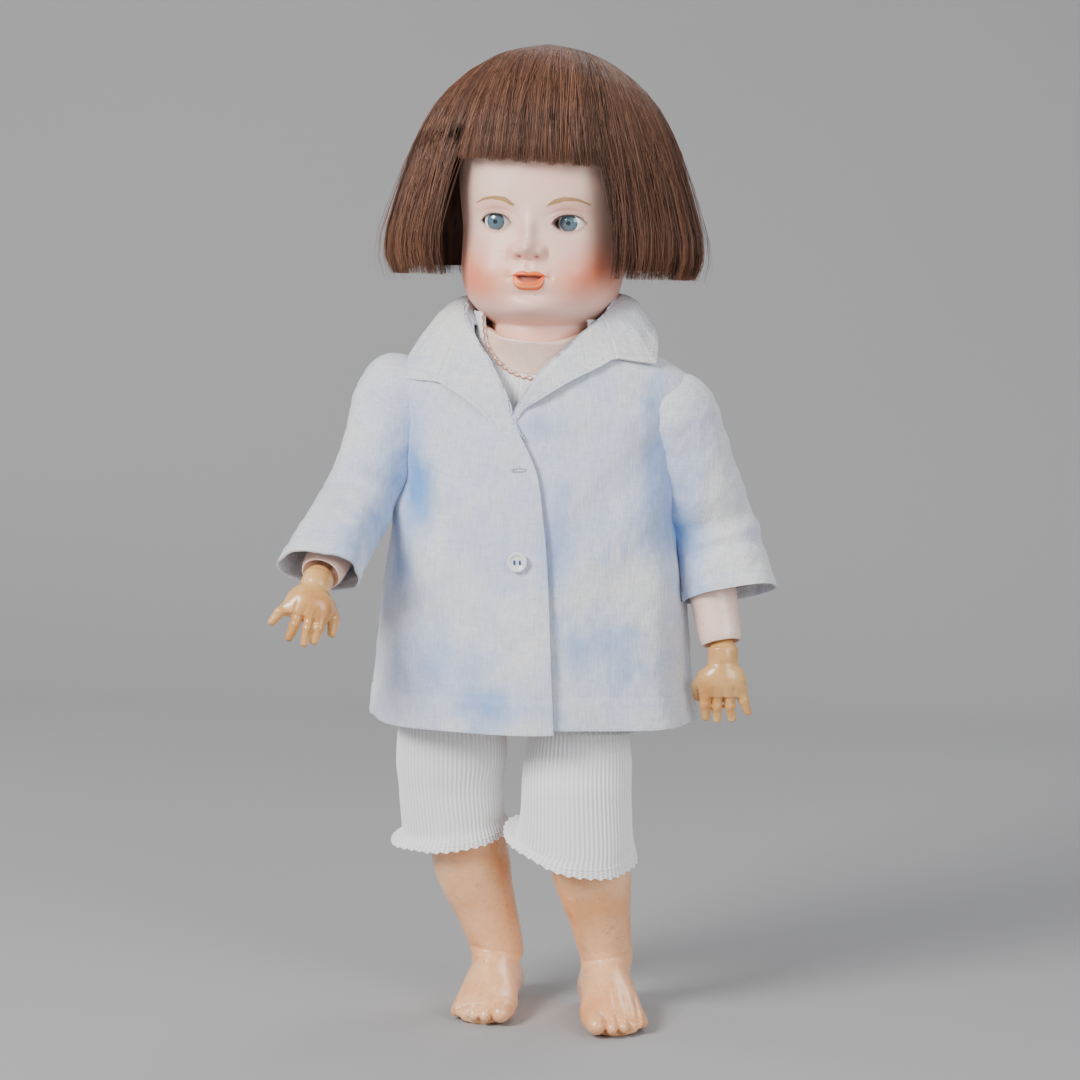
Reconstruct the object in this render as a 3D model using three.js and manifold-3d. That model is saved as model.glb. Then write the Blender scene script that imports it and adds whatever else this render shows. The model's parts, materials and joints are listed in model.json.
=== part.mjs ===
// A jointed character doll of the antique bisque-headed kind, 557 mm tall with its wig.
// It stands on bare feet and faces -Y; its own right side is at -X. All sizes are in millimetres.
// The body is composition over wood, strung with elastic through loose balls at each joint.
import * as THREE from 'three';
import Module from 'manifold-3d';
import { mergeVertices } from 'three/addons/utils/BufferGeometryUtils.js';

// Driving dimensions
const GAP = 0.3; // clearance between pieces that touch
const LEAN = 4; // sideways lean of the torso, degrees
const HIP_HEIGHT = 182;
const HIP_MIDDLE = -3.4; // where the middle of the hips is across
const HIP_SPREAD = 36.5; // hip joint from the middle of the torso
const SHOULDER_SPREAD = 74;
const SHOULDER_RISE = 172; // along the torso, above the hips
const NECK_RISE = SHOULDER_RISE + 49.5; // centre of the neck's round seat above the hips
const SHOULDER_LEVEL = HIP_HEIGHT + SHOULDER_RISE; // above the floor, for the clothes
const NECK_R = 32; // round end of the neck
const HIP_BALL_R = 19;
const KNEE_BALL_R = 15.5;
const SHOULDER_BALL_R = 14.5;
const ELBOW_BALL_R = 11.5;
const WRIST_BALL_R = 8.2;
const UPPER_ARM = 73.5;
const FOREARM = 69.5;
const THIGH = 64.5;
const SHIN = 82.5;
const BORE_R = 3.6; // the hole that the elastic runs through
const ELASTIC_R = 1.5;
const WALL = 5; // wall of the bisque head and of the torso
const EYE_R = 11.4;
const EYE_X = 20; // eye centre from the middle of the face
const EYE_Z = 51; // eyes above the neck centre
const LINEN = 1.1; // thickness of the jacket's cloth
const KNIT = 1.4; // thickness of the drawers' and undershirt's cloth

// Where the limbs end in this pose
const WRIST_R = new THREE.Vector3(-95.8, -83.7, SHOULDER_LEVEL - 95.9);
const WRIST_L = new THREE.Vector3(117, -5.8, SHOULDER_LEVEL - 140);
const ANKLE_R = new THREE.Vector3(-19, 20, 41);
const ANKLE_L = new THREE.Vector3(46, 13, 41);

const wasm = await Module();
wasm.setup();

const V = (x, y, z) => new THREE.Vector3(x, y, z);
const rad = THREE.MathUtils.degToRad;
const clamp01 = (t) => Math.min(1, Math.max(0, t));
const smooth = (a, b, x) => {
  const t = clamp01((x - a) / (b - a));
  return t * t * (3 - 2 * t);
};
const bump = (x, width) => Math.exp(-(x * x) / (width * width));

// Straight-line interpolation in a short table of stations, sorted by the first number of each row.
function station(table, z) {
  if (z <= table[0][0]) return table[0].slice(1);
  for (let i = 1; i < table.length; i++) {
    const [a, b] = [table[i - 1], table[i]];
    if (z <= b[0]) {
      const t = (z - a[0]) / (b[0] - a[0]);
      return a.slice(1).map((v, k) => v + (b[k + 1] - v) * t);
    }
  }
  return table[table.length - 1].slice(1);
}

function makeGeometry(points, index) {
  const g = new THREE.BufferGeometry();
  const flat = new Float32Array(points.length * 3);
  points.forEach((p, i) => p.toArray(flat, i * 3));
  g.setAttribute('position', new THREE.BufferAttribute(flat, 3));
  let volume = 0;
  for (let i = 0; i < index.length; i += 3) {
    const [a, b, c] = [points[index[i]], points[index[i + 1]], points[index[i + 2]]];
    volume += a.dot(b.clone().cross(c));
  }
  g.setIndex(volume < 0 ? index.slice().reverse() : index);
  return g;
}

// A closed body through rings of points. Every ring has as many points, and a fan closes each end.
function loft(rings) {
  const n = rings[0].length;
  const points = rings.flat();
  const index = [];
  for (let i = 0; i + 1 < rings.length; i++) {
    for (let j = 0; j < n; j++) {
      const k = (j + 1) % n;
      const [a, b, c, d] = [i * n + j, i * n + k, (i + 1) * n + k, (i + 1) * n + j];
      index.push(a, b, c, a, c, d);
    }
  }
  [0, rings.length - 1].forEach((i) => {
    const middle = V(0, 0, 0);
    rings[i].forEach((p) => middle.addScaledVector(p, 1 / n));
    points.push(middle);
    for (let j = 0; j < n; j++) {
      const [a, b] = [i * n + j, i * n + ((j + 1) % n)];
      if (i === 0) index.push(b, a, points.length - 1);
      else index.push(a, b, points.length - 1);
    }
  });
  return makeGeometry(points, index);
}

// A sheet of cloth as a closed body: rows of points on its outer face, and the same on its inner face.
// A closed sheet goes all the way round, so that only its two ends are edges.
function sheet(outer, inner, closed) {
  const [m, n] = [outer.length, outer[0].length];
  const points = [...outer.flat(), ...inner.flat()];
  const index = [];
  const quad = (a, b, c, d) => index.push(a, b, c, a, c, d);
  const at = (i, j, side) => side * m * n + i * n + (j % n);
  const last = closed ? n : n - 1;
  for (let i = 0; i + 1 < m; i++) {
    for (let j = 0; j < last; j++) {
      quad(at(i, j, 0), at(i, j + 1, 0), at(i + 1, j + 1, 0), at(i + 1, j, 0));
      quad(at(i, j, 1), at(i + 1, j, 1), at(i + 1, j + 1, 1), at(i, j + 1, 1));
    }
    if (!closed) {
      quad(at(i, 0, 0), at(i + 1, 0, 0), at(i + 1, 0, 1), at(i, 0, 1));
      quad(at(i, n - 1, 0), at(i, n - 1, 1), at(i + 1, n - 1, 1), at(i + 1, n - 1, 0));
    }
  }
  for (let j = 0; j < last; j++) {
    quad(at(0, j, 0), at(0, j, 1), at(0, j + 1, 1), at(0, j + 1, 0));
    quad(at(m - 1, j, 0), at(m - 1, j + 1, 0), at(m - 1, j + 1, 1), at(m - 1, j, 1));
  }
  return makeGeometry(points, index);
}

// Moves each point of a grid along the surface's normal; out is a point that the normal turns away from.
function offsetGrid(rows, distance, closed, centreOf) {
  const [m, n] = [rows.length, rows[0].length];
  return rows.map((row, i) => row.map((p, j) => {
    const up = rows[Math.max(i - 1, 0)][j];
    const down = rows[Math.min(i + 1, m - 1)][j];
    const left = closed ? row[(j - 1 + n) % n] : row[Math.max(j - 1, 0)];
    const right = closed ? row[(j + 1) % n] : row[Math.min(j + 1, n - 1)];
    const normal = down.clone().sub(up).cross(right.clone().sub(left)).normalize();
    if (normal.dot(p.clone().sub(centreOf(i, p))) < 0) normal.negate();
    return p.clone().addScaledVector(normal, distance);
  }));
}

function toSolid(geometry) {
  const bare = geometry.clone();
  bare.deleteAttribute('normal');
  bare.deleteAttribute('uv');
  const g = mergeVertices(bare, 1e-4);
  return new wasm.Manifold(new wasm.Mesh({
    numProp: 3,
    vertProperties: new Float32Array(g.attributes.position.array),
    triVerts: new Uint32Array(g.index.array),
  }));
}

function toGeometry(solid) {
  const mesh = solid.getMesh();
  const g = new THREE.BufferGeometry();
  g.setAttribute('position', new THREE.BufferAttribute(new Float32Array(mesh.vertProperties), 3));
  g.setIndex(new THREE.BufferAttribute(new Uint32Array(mesh.triVerts), 1));
  return g;
}

const cutAll = (body, tools) => tools.reduce((s, t) => (
  s.subtract(t instanceof THREE.BufferGeometry ? toSolid(t) : t)), body);
const joinAll = (parts) => parts.map(toSolid).reduce((a, b) => a.add(b));

// Faceted balls: a seat is as much larger as it takes for the ball's corners to turn clear of its facets.
const BALL_WIDE = 10;
const BALL_HIGH = 7;
const seatR = (r, wide = BALL_WIDE, high = BALL_HIGH) => (
  (r + 0.12) / (Math.cos(Math.PI / wide) * Math.cos(Math.PI / (2 * high))));

function ballAt(p, r, wide = BALL_WIDE, high = BALL_HIGH) {
  return new THREE.SphereGeometry(r, wide, high).translate(p.x, p.y, p.z);
}

// The hollow for a ball, turned so that the ball's corners face the middle of its facets.
function seatAt(p, r, wide = BALL_WIDE, high = BALL_HIGH) {
  const g = new THREE.SphereGeometry(seatR(r, wide, high), wide, high);
  g.rotateY(Math.PI / wide).rotateX(Math.PI / (2 * high));
  return g.translate(p.x, p.y, p.z);
}

// A round bar from a to b, tapered when the two radii differ.
function bar(a, b, r, rb = r, sides = 5) {
  const along = b.clone().sub(a);
  const g = new THREE.CylinderGeometry(rb, r, along.length(), sides);
  g.translate(0, along.length() / 2, 0);
  g.applyQuaternion(new THREE.Quaternion().setFromUnitVectors(V(0, 1, 0), along.normalize()));
  return g.translate(a.x, a.y, a.z);
}

// A rounded finger or toe: two ends and a radius at each.
function finger(a, b, ra, rb, sides = 5) {
  const length = a.distanceTo(b);
  const profile = [[0, -ra], [ra, 0], [rb, length], [0.72 * rb, length + 0.69 * rb], [0, length + rb]];
  const g = new THREE.LatheGeometry(profile.map(([x, y]) => new THREE.Vector2(x, y)), sides);
  g.applyQuaternion(new THREE.Quaternion().setFromUnitVectors(V(0, 1, 0), b.clone().sub(a).normalize()));
  return g.translate(a.x, a.y, a.z);
}

// A basis along a limb: w runs from a to b, v is as near to the front as it can be, u is sideways.
function basis(a, b, front = V(0, -1, 0)) {
  const w = b.clone().sub(a).normalize();
  const v = front.clone().addScaledVector(w, -front.dot(w)).normalize();
  const u = v.clone().cross(w).normalize();
  return { u, v, w };
}

// Rings square to the line from a to b. Each row: distance along it, half width, front and back depths, and
// shifts sideways and forwards.
function limbRings(a, b, rows, sides, front) {
  const { u, v, w } = basis(a, b, front);
  return rows.map(([t, wide, deepFront, deepBack = deepFront, du = 0, dv = 0]) => {
    const ring = [];
    for (let j = 0; j < sides; j++) {
      const angle = (2 * Math.PI * j) / sides;
      const [s, c] = [Math.sin(angle), Math.cos(angle)];
      const deep = c > 0 ? deepFront : deepBack;
      ring.push(a.clone().addScaledVector(w, t).addScaledVector(u, wide * s + du)
        .addScaledVector(v, deep * c + dv));
    }
    return ring;
  });
}

// The middle joint of a two-part limb from a to b, bending towards the pole.
function bend(a, b, first, second, pole) {
  const line = b.clone().sub(a);
  const d = line.length();
  line.normalize();
  const along = (first * first - second * second + d * d) / (2 * d);
  const side = Math.sqrt(Math.max(0, first * first - along * along));
  const p = pole.clone().addScaledVector(line, -pole.dot(line)).normalize();
  return a.clone().addScaledVector(line, along).addScaledVector(p, side);
}

// The skeleton in this pose
const hipMiddle = V(HIP_MIDDLE, 0, HIP_HEIGHT);
const spine = V(Math.sin(rad(LEAN)), 0, Math.cos(rad(LEAN)));
const across = V(Math.cos(rad(LEAN)), 0, -Math.sin(rad(LEAN)));
const onTorso = (x, y, z) => hipMiddle.clone().addScaledVector(across, x).addScaledVector(spine, z)
  .add(V(0, y, 0));
const neckPoint = onTorso(0, 0, NECK_RISE);
const joint = {
  shoulder_r: onTorso(-SHOULDER_SPREAD, 0, SHOULDER_RISE),
  shoulder_l: onTorso(SHOULDER_SPREAD, 0, SHOULDER_RISE),
  hip_r: onTorso(-HIP_SPREAD, 0, 0),
  hip_l: onTorso(HIP_SPREAD, 0, 0),
  wrist_r: WRIST_R,
  wrist_l: WRIST_L,
  ankle_r: ANKLE_R,
  ankle_l: ANKLE_L,
  neck: neckPoint,
};
joint.elbow_r = bend(joint.shoulder_r, WRIST_R, UPPER_ARM, FOREARM, V(-0.35, 0.5, -0.6));
joint.elbow_l = bend(joint.shoulder_l, WRIST_L, UPPER_ARM, FOREARM, V(0.1, 1, 0));
joint.knee_r = bend(joint.hip_r, ANKLE_R, THIGH, SHIN, V(-0.7, -0.72, 0));
joint.knee_l = bend(joint.hip_l, ANKLE_L, THIGH, SHIN, V(0, -1, 0));
const handEnd = {
  r: WRIST_R.clone().add(V(-0.142, -0.611, -0.778).multiplyScalar(45)),
  l: WRIST_L.clone().add(V(0.02, -0.14, -0.99).multiplyScalar(45)),
};
const towardsViewer = V(Math.sin(rad(12)), -Math.cos(rad(12)), 0.15);

const root = new THREE.Group();
const body = new THREE.Group(); // the strung body
const clothes = new THREE.Group();
const head = new THREE.Group(); // set on the neck, turned and tipped a little
root.add(body, clothes, head);
const HEAD_TURN = 2.4; // degrees about the spine, towards the doll's left
const HEAD_ROLL = 1.5; // degrees, towards the doll's left
head.position.copy(neckPoint);
head.rotation.set(0, rad(HEAD_ROLL), rad(HEAD_TURN), 'ZYX');

const paint = (color, roughness, metalness = 0) => (
  new THREE.MeshStandardMaterial({ color, roughness, metalness }));
const SKIN = paint(0xecc5ac, 0.45);
const HAND_SKIN = paint(0xdfb67e, 0.5);
const BISQUE = paint(0xeed9cf, 0.38);
const BALL = paint(0xe2b48c, 0.55);
const HAIR = paint(0x5f3a2a, 0.6);
const BLUE_LINEN = paint(0xcbd5e2, 0.95);
const WHITE_KNIT = paint(0xf1f1ee, 0.95);
const ELASTIC = paint(0xe8e0d0, 0.9);
const IRON = paint(0x6b6560, 0.45, 0.9);

function addMesh(group, name, shape, material) {
  const geometry = shape instanceof THREE.BufferGeometry ? shape : toGeometry(shape);
  geometry.computeVertexNormals();
  const mesh = new THREE.Mesh(geometry, material);
  mesh.name = name;
  group.add(mesh);
  return mesh;
}

// A hole for elastic inside a ball: in from one limb, round the bend, out to the next.
const towards = (a, b, distance) => a.clone().add(b.clone().sub(a).setLength(distance));
const bentBore = (p, from, to, length) => [
  bar(towards(p, from, -2.4), towards(p, from, length), BORE_R),
  bar(towards(p, to, -2.4), towards(p, to, length), BORE_R),
];
// A ball socket with a mouth: inside reach, everything goes but a cup of half angle spread round the seat.
function mouthed(centre, ballR, reach, seat, spread) {
  const depth = reach + 2;
  const rim = centre.clone().addScaledVector(seat, depth);
  const cup = bar(centre, rim, 0.01, depth * Math.tan(rad(spread)), 10);
  return [
    toSolid(ballAt(centre, reach, 10, 6)).subtract(toSolid(cup)),
    toSolid(seatAt(centre, ballR, 12, 8)),
  ];
}

// Torso: rows of height above the hips, half width, front depth, back depth.
const TORSO = [
  [-4, 27, 20, 24], [0, 47.5, 29, 34], [10, 55, 33.4, 37.6], [26, 56.5, 35, 37],
  [50, 49, 36, 33], [80, 46, 36, 31], [120, 49.4, 33.4, 31], [SHOULDER_RISE - 24, 56, 30.8, 31],
  [SHOULDER_RISE, 60, 27, 30], [SHOULDER_RISE + 14, 55, 26, 29], [SHOULDER_RISE + 24, 42, 28, 30],
  [SHOULDER_RISE + 34, 32.8, 32.4, 32.4],
];
const TORSO_SIDES = 18;
function torsoRing(z, grow, sides = TORSO_SIDES) {
  const [a, front, back] = station(TORSO, z);
  const ring = [];
  for (let j = 0; j < sides; j++) {
    const angle = (2 * Math.PI * j) / sides;
    const [s, c] = [Math.sin(angle), Math.cos(angle)];
    const power = 0.88; // a little squarer than an ellipse
    const x = (a + grow) * Math.sign(s) * Math.abs(s) ** power;
    const y = -((c > 0 ? front : back) + grow) * Math.sign(c) * Math.abs(c) ** power;
    ring.push(onTorso(x, y, z));
  }
  return ring;
}
const torsoOuter = loft(TORSO.map(([z]) => torsoRing(z, 0)));
const torsoInner = loft([38, 80, SHOULDER_RISE - 32, SHOULDER_RISE + 10]
  .map((z) => torsoRing(z, -WALL - 4, 8)));
const armInside = (sign) => onTorso(sign * 30, -7, SHOULDER_RISE);
const legInside = (sign) => onTorso(sign * 22, 0, 44);
const frontOfNeck = new THREE.CylinderGeometry(NECK_R + 0.6, NECK_R + 0.6, 60, 18);
frontOfNeck.translate(neckPoint.x, -30 - 8, neckPoint.z);
const torsoCuts = [
  torsoInner,
  frontOfNeck, // the rim is lower in front, so that the neck shows
  ballAt(neckPoint, seatR(NECK_R, 18, 12), 18, 12),
  bar(onTorso(0, 0, SHOULDER_RISE - 12), neckPoint, 10, 10, 8),
];
['r', 'l'].forEach((side) => {
  const sign = side === 'r' ? -1 : 1;
  const shoulder = joint['shoulder_' + side];
  const hip = joint['hip_' + side];
  // The shoulder's cup faces outwards. The hip's faces down and forwards, so that the leg can sit.
  const armSeat = across.clone().multiplyScalar(-sign).add(V(0, 0.1, 0)).normalize();
  torsoCuts.push(...mouthed(shoulder, SHOULDER_BALL_R, 20, armSeat, 34));
  const legSeat = V(-sign * 0.2, 0.35, 0.92).normalize();
  torsoCuts.push(...mouthed(hip, HIP_BALL_R, 27.5, legSeat, 48));
  // Room for the top of the thigh as it swings: the leg opening is cut high in front.
  torsoCuts.push(mouthed(hip, HIP_BALL_R, 34.4, V(0, 0.2, 0.98), 78)[0]);
  torsoCuts.push(bar(shoulder, armInside(sign), BORE_R + 0.6));
  torsoCuts.push(bar(hip, legInside(sign), BORE_R + 1.4, BORE_R + 3));
});
addMesh(body, 'torso', cutAll(toSolid(torsoOuter), torsoCuts), SKIN);

// Arms
['r', 'l'].forEach((side) => {
  const shoulder = joint['shoulder_' + side];
  const elbow = joint['elbow_' + side];
  const wrist = joint['wrist_' + side];
  const sign = side === 'r' ? -1 : 1;
  const inside = armInside(sign);

  const shoulderBall = cutAll(toSolid(ballAt(shoulder, SHOULDER_BALL_R)),
    bentBore(shoulder, inside, elbow, SHOULDER_BALL_R + 3));
  addMesh(body, 'shoulder_ball_' + side, shoulderBall, BALL);

  // The top of the arm is a dome over the ball, open on the side of the torso.
  const upperRows = [[-16.8, 4, 4], [-12.6, 11.4, 11.4], [-5, 16.2, 16.2], [10, 17, 17],
    [36, 15.4, 16], [54, 13.4, 13.8], [UPPER_ARM - 7, 10.6, 10.8]];
  const armMouth = across.clone().multiplyScalar(-sign);
  const upper = cutAll(toSolid(loft(limbRings(shoulder, elbow, upperRows, 12))), [
    seatAt(shoulder, SHOULDER_BALL_R), seatAt(elbow, ELBOW_BALL_R),
    bar(shoulder, shoulder.clone().addScaledVector(armMouth, 22), 0.01, 22 * Math.tan(rad(74)), 10),
    bar(towards(shoulder, elbow, 8), elbow, BORE_R + 1),
  ]);
  addMesh(body, 'upper_arm_' + side, upper, SKIN);

  const elbowBall = cutAll(toSolid(ballAt(elbow, ELBOW_BALL_R)),
    bentBore(elbow, shoulder, wrist, ELBOW_BALL_R + 3));
  addMesh(body, 'elbow_ball_' + side, elbowBall, BALL);

  const foreRows = [[7, 10.8, 10.8], [11, 12.8, 12.8], [20, 13.9, 13.8], [34, 13.6, 13.2], [50, 12.9, 11.8],
    [60, 12.2, 11], [65, 11, 10]];
  const fore = cutAll(toSolid(loft(limbRings(elbow, wrist, foreRows, 12))), [
    seatAt(elbow, ELBOW_BALL_R), seatAt(wrist, WRIST_BALL_R),
    bar(elbow, wrist, BORE_R),
  ]);
  addMesh(body, 'forearm_' + side, fore, paint(0xf0d3c6, 0.42));

  // Hand: a round wrist seat, a plump palm, four fingers and a thumb on the side of the body.
  const end = handEnd[side];
  const { u, v, w } = basis(wrist, end, towardsViewer);
  const thumbSide = u.x * sign > 0 ? u.clone().negate() : u.clone();
  const at = (along, sideways, out) => wrist.clone().addScaledVector(w, along)
    .addScaledVector(thumbSide, sideways).addScaledVector(v, out);
  const palm = loft([[5, 6.6, 6.2, 0, 0], [9, 8.6, 7, 0.2, 0.4], [13, 11.2, 7.2, 0.6, 0.6],
    [17, 13, 7, 0.5, 0.6], [21.5, 13.2, 6.2, 0, 0.4], [24.5, 11.5, 4.4, -0.4, 0]]
    .map(([t, wide, deep, shift, lift]) => {
      const ring = [];
      for (let j = 0; j < 8; j++) {
        const angle = (2 * Math.PI * j) / 8;
        ring.push(at(t, wide * Math.cos(angle) + shift, deep * Math.sin(angle) + lift));
      }
      return ring;
    }));
  const fingers = [
    [[21.5, 8.6, 0.2], [34.5, 11.2, -3.2], 3.3, 2.6], // index
    [[22.5, 2.9, 0.6], [37.2, 3.9, -3.8], 3.4, 2.6],
    [[22, -3.1, 0.4], [36.4, -4, -4], 3.3, 2.6],
    [[20.5, -8.6, -0.2], [32, -11.4, -3.8], 3, 2.3], // little finger
    [[13, 10.4, -1.4], [24, 17.4, -5.4], 3.9, 2.9], // thumb
  ].map(([a, b, ra, rb]) => finger(at(...a), at(...b), ra, rb));
  const hook = at(2.2, 0, 0);
  const hand = cutAll(joinAll([ballAt(wrist, WRIST_BALL_R), palm, ...fingers]), [
    bar(at(-1, 0, 0), at(6, 0, 0), BORE_R), bar(at(4, 0, 0), at(15, 0, 0), 0.8 + GAP, 0.8 + GAP, 6),
    bar(wrist, towards(wrist, elbow, 9), BORE_R, BORE_R + 0.6),
  ]);
  addMesh(body, 'hand_' + side, hand, HAND_SKIN);
  const eye = new THREE.TorusGeometry(2, 0.6, 4, 7);
  eye.applyQuaternion(new THREE.Quaternion().setFromUnitVectors(V(0, 0, 1), v));
  eye.translate(hook.x, hook.y, hook.z);
  addMesh(body, 'hand_hook_' + side, joinAll([eye, bar(at(4, 0, 0), at(14.5, 0, 0), 0.8, 0.8, 6)]), IRON);
});

// One elastic strings both arms, from hook to hook; each leg has its own from the neck hook.
function cordAlong(points) {
  const rings = points.map((p, i) => {
    const before = points[Math.max(i - 1, 0)];
    const after = points[Math.min(i + 1, points.length - 1)];
    const w = after.clone().sub(p).normalize().add(p.clone().sub(before).normalize()).normalize();
    const u = V(0, 1, 0.2).cross(w).normalize();
    const v = w.clone().cross(u);
    return [0, 1, 2, 3, 4, 5].map((k) => p.clone().addScaledVector(u, ELASTIC_R * Math.cos(k * Math.PI / 3))
      .addScaledVector(v, ELASTIC_R * Math.sin(k * Math.PI / 3)));
  });
  return loft(rings);
}
const armPoints = (side, sign) => {
  const [s, e, w] = ['shoulder_', 'elbow_', 'wrist_'].map((k) => joint[k + side]);
  return [towards(w, e, 0.8), e, s, armInside(sign)];
};
addMesh(body, 'arm_elastic', cordAlong([...armPoints('r', -1), ...armPoints('l', 1).reverse()]), ELASTIC);

// Legs
const aimAt = (degrees) => V(Math.sin(rad(degrees)), -Math.cos(rad(degrees)), 0);
const footAim = { r: aimAt(2), l: aimAt(18) };
['r', 'l'].forEach((side) => {
  const hip = joint['hip_' + side];
  const knee = joint['knee_' + side];
  const ankle = joint['ankle_' + side];
  const sign = side === 'r' ? -1 : 1;

  const hipBall = cutAll(toSolid(ballAt(hip, HIP_BALL_R, 12, 8)),
    bentBore(hip, legInside(sign), knee, HIP_BALL_R + 3));
  addMesh(body, 'hip_ball_' + side, hipBall, BALL);

  const thighRows = [[7, 20, 20], [10, 24.2, 24, 24.4], [20, 25.8, 25, 26.6], [34, 25, 24.4, 25.6],
    [48, 21.4, 21.4, 21.8], [THIGH - 9, 15, 15]];
  const thigh = cutAll(toSolid(loft(limbRings(hip, knee, thighRows, 13))), [
    seatAt(hip, HIP_BALL_R, 12, 8), seatAt(knee, KNEE_BALL_R),
    bar(hip, knee, BORE_R + 1),
  ]);
  addMesh(body, 'thigh_' + side, thigh, SKIN);

  const kneeBall = cutAll(toSolid(ballAt(knee, KNEE_BALL_R)), bentBore(knee, hip, ankle, KNEE_BALL_R + 3));
  addMesh(body, 'knee_ball_' + side, kneeBall, BALL);

  // Shin and foot are one casting. The foot is flat underneath, and its heel and toes stay above the floor.
  const calfOut = side === 'r' ? 4 : 0; // how far the right calf bows outwards
  const shinRows = [[9, 15, 15, 15, 0], [13, 19.4, 19.2, 19.2, 0.3], [22, 22.4, 21, 23, 0.6],
    [36, 22.4, 20.4, 23.8, 1], [50, 20.8, 18.6, 21.8, 1], [64, 18.3, 16.6, 18.4, 0.7],
    [76, 16.8, 16, 16.6, 0.5], [96, 15, 15, 15, 0.4]]
    .map(([t, w, f, b, k]) => [t, w, f, b, -calfOut * k]);
  const shin = loft(limbRings(knee, ankle, shinRows, 12));
  const aim = footAim[side];
  const right = V(-aim.y, aim.x, 0); // to the left of the aim as the doll sees it
  const big = side === 'r' ? right.clone() : right.clone().negate(); // towards the big toe
  const onFoot = (forward, sideways, up) => V(ankle.x, ankle.y, 0).addScaledVector(aim, forward)
    .addScaledVector(big, sideways).add(V(0, 0, up));
  const footRows = [[-23, 6, 8, 13], [-19, 11, 1.5, 22], [-11, 13.6, -1, 32], [0, 14.6, -1, 38],
    [11, 15.2, -1, 34], [22, 16.4, -1, 26], [32, 17.4, -1, 19.5], [39, 17, 0, 15.5], [43, 14.5, 1.5, 12.5]];
  const foot = loft(footRows.map(([forward, wide, low, high]) => {
    const ring = [];
    for (let j = 0; j < 10; j++) {
      const angle = (2 * Math.PI * j) / 10;
      const [s, c] = [Math.sin(angle), Math.cos(angle)];
      const mid = (low + high) / 2;
      const half = (high - low) / 2;
      ring.push(onFoot(forward + c * 1.5, wide * Math.sign(s) * Math.abs(s) ** 0.8,
        mid + half * Math.sign(c) * Math.abs(c) ** 0.8));
    }
    return ring;
  }));
  const toes = [[12, 5.6, 48], [3.6, 4.3, 48.5], [-3.4, 4.1, 46.5], [-9.6, 3.9, 43.5], [-14.6, 3.6, 39.5]]
    .map(([sideways, r, tip]) => finger(onFoot(tip - 16, sideways * 0.86, r + 5.5),
      onFoot(tip - r, sideways, r - 0.4), r * 1.15, r));
  const ends = joinAll([shin, foot, ...toes]);
  const floor = new THREE.BoxGeometry(300, 300, 20).translate(0, 0, -10);
  const flat = ends.subtract(toSolid(floor));
  const pinAt = towards(knee, ankle, 30);
  const { u } = basis(knee, ankle);
  const pinA = pinAt.clone().addScaledVector(u, -11);
  const pinB = pinAt.clone().addScaledVector(u, 11);
  const shinCut = cutAll(flat, [
    seatAt(knee, KNEE_BALL_R),
    bar(knee, towards(knee, ankle, 36), BORE_R + 1.4),
    bar(pinA, pinB, 1.3 + GAP, 1.3 + GAP, 6),
  ]);
  addMesh(body, 'shin_' + side, shinCut, SKIN);
  addMesh(body, 'shin_pin_' + side, bar(pinA.clone().addScaledVector(u, GAP),
    pinB.clone().addScaledVector(u, -GAP), 1.3, 1.3, 6), IRON);

  const top = onTorso(sign * 2.4, 0, 162.2);
  addMesh(body, 'leg_elastic_' + side, cordAlong([towards(pinAt, knee, 1.3 + GAP), knee, hip,
    legInside(sign), top]), ELASTIC);
});

// Neck button and hook: the hook hangs from the button and holds both leg elastics.
const down = (r, z) => new THREE.Vector2(r, z);
const buttonCurve = [];
for (let i = 0; i <= 3; i++) {
  const angle = rad(5 + i * 8);
  buttonCurve.push(down(26.3 * Math.sin(angle), -26.3 * Math.cos(angle)));
}
const buttonProfile = [...buttonCurve.slice(1), down(12.4, -20.5), down(6, -17), down(3.2, -17),
  down(3.2, -25.9)];
buttonProfile.push(buttonProfile[0].clone());
const neckButton = new THREE.LatheGeometry(buttonProfile, 12);
neckButton.rotateX(Math.PI / 2);
addMesh(head, 'neck_button', neckButton, paint(0xb98e5f, 0.7));
const wire = (points, r, sides, steps) => {
  const circle = new THREE.Shape();
  circle.absarc(0, 0, r, 0, 2 * Math.PI);
  return new THREE.ExtrudeGeometry(circle, {
    steps, curveSegments: sides, bevelEnabled: false, extrudePath: new THREE.CatmullRomCurve3(points),
  });
};
const hookWire = wire([
  V(0, 0, -14), V(0, 0, -22), V(0, 0, -34), V(-1.5, 0, -42), V(-5.6, 0, -49), V(-4, 0, -55), V(0, 0, -57.5),
  V(4, 0, -55), V(5.6, 0, -49),
], 1.2, 3, 12);
addMesh(head, 'neck_hook', joinAll([hookWire, bar(V(0, 0, -16.6), V(0, 0, -14.6), 4.6, 4.6, 8)]), IRON);

// Head: rows of height above the neck centre, half width, front depth, back depth.
const HEAD = [
  [-31.2, 7, 7, 7], [-27.4, 16.4, 16.4, 16.4], [-22, 23.2, 23.2, 23.2],
  [-15.5, 28, 28, 28], [-7, 27.4, 27.6, 27.2], [-3.4, 31, 36.5, 27.4],
  [1, 36, 42, 29], [6, 40, 44.4, 32.2], [11, 42.6, 45.6, 35.8],
  [16, 44.1, 46.2, 39], [21, 45, 46.1, 42], [26, 45.4, 45.8, 44.6],
  [32, 45.2, 45.2, 47.4], [38, 45, 45, 49.4], [44, 44.8, 45.1, 51],
  [51, 45.2, 45.9, 52.3], [59, 46.2, 47.3, 53.2],
  [72, 47.5, 48.8, 54], [84, 47.6, 48.8, 53.4], [96, 45.4, 46.2, 50.6],
  [107, 41, 42, 45.6], [115, 35.6, 36.6, 39.6],
];
const PATE = [[115, 35.6, 36.6, 39.6], [123, 27.6, 29, 31], [130, 16, 17, 18], [134, 3, 3, 3]];

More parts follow.
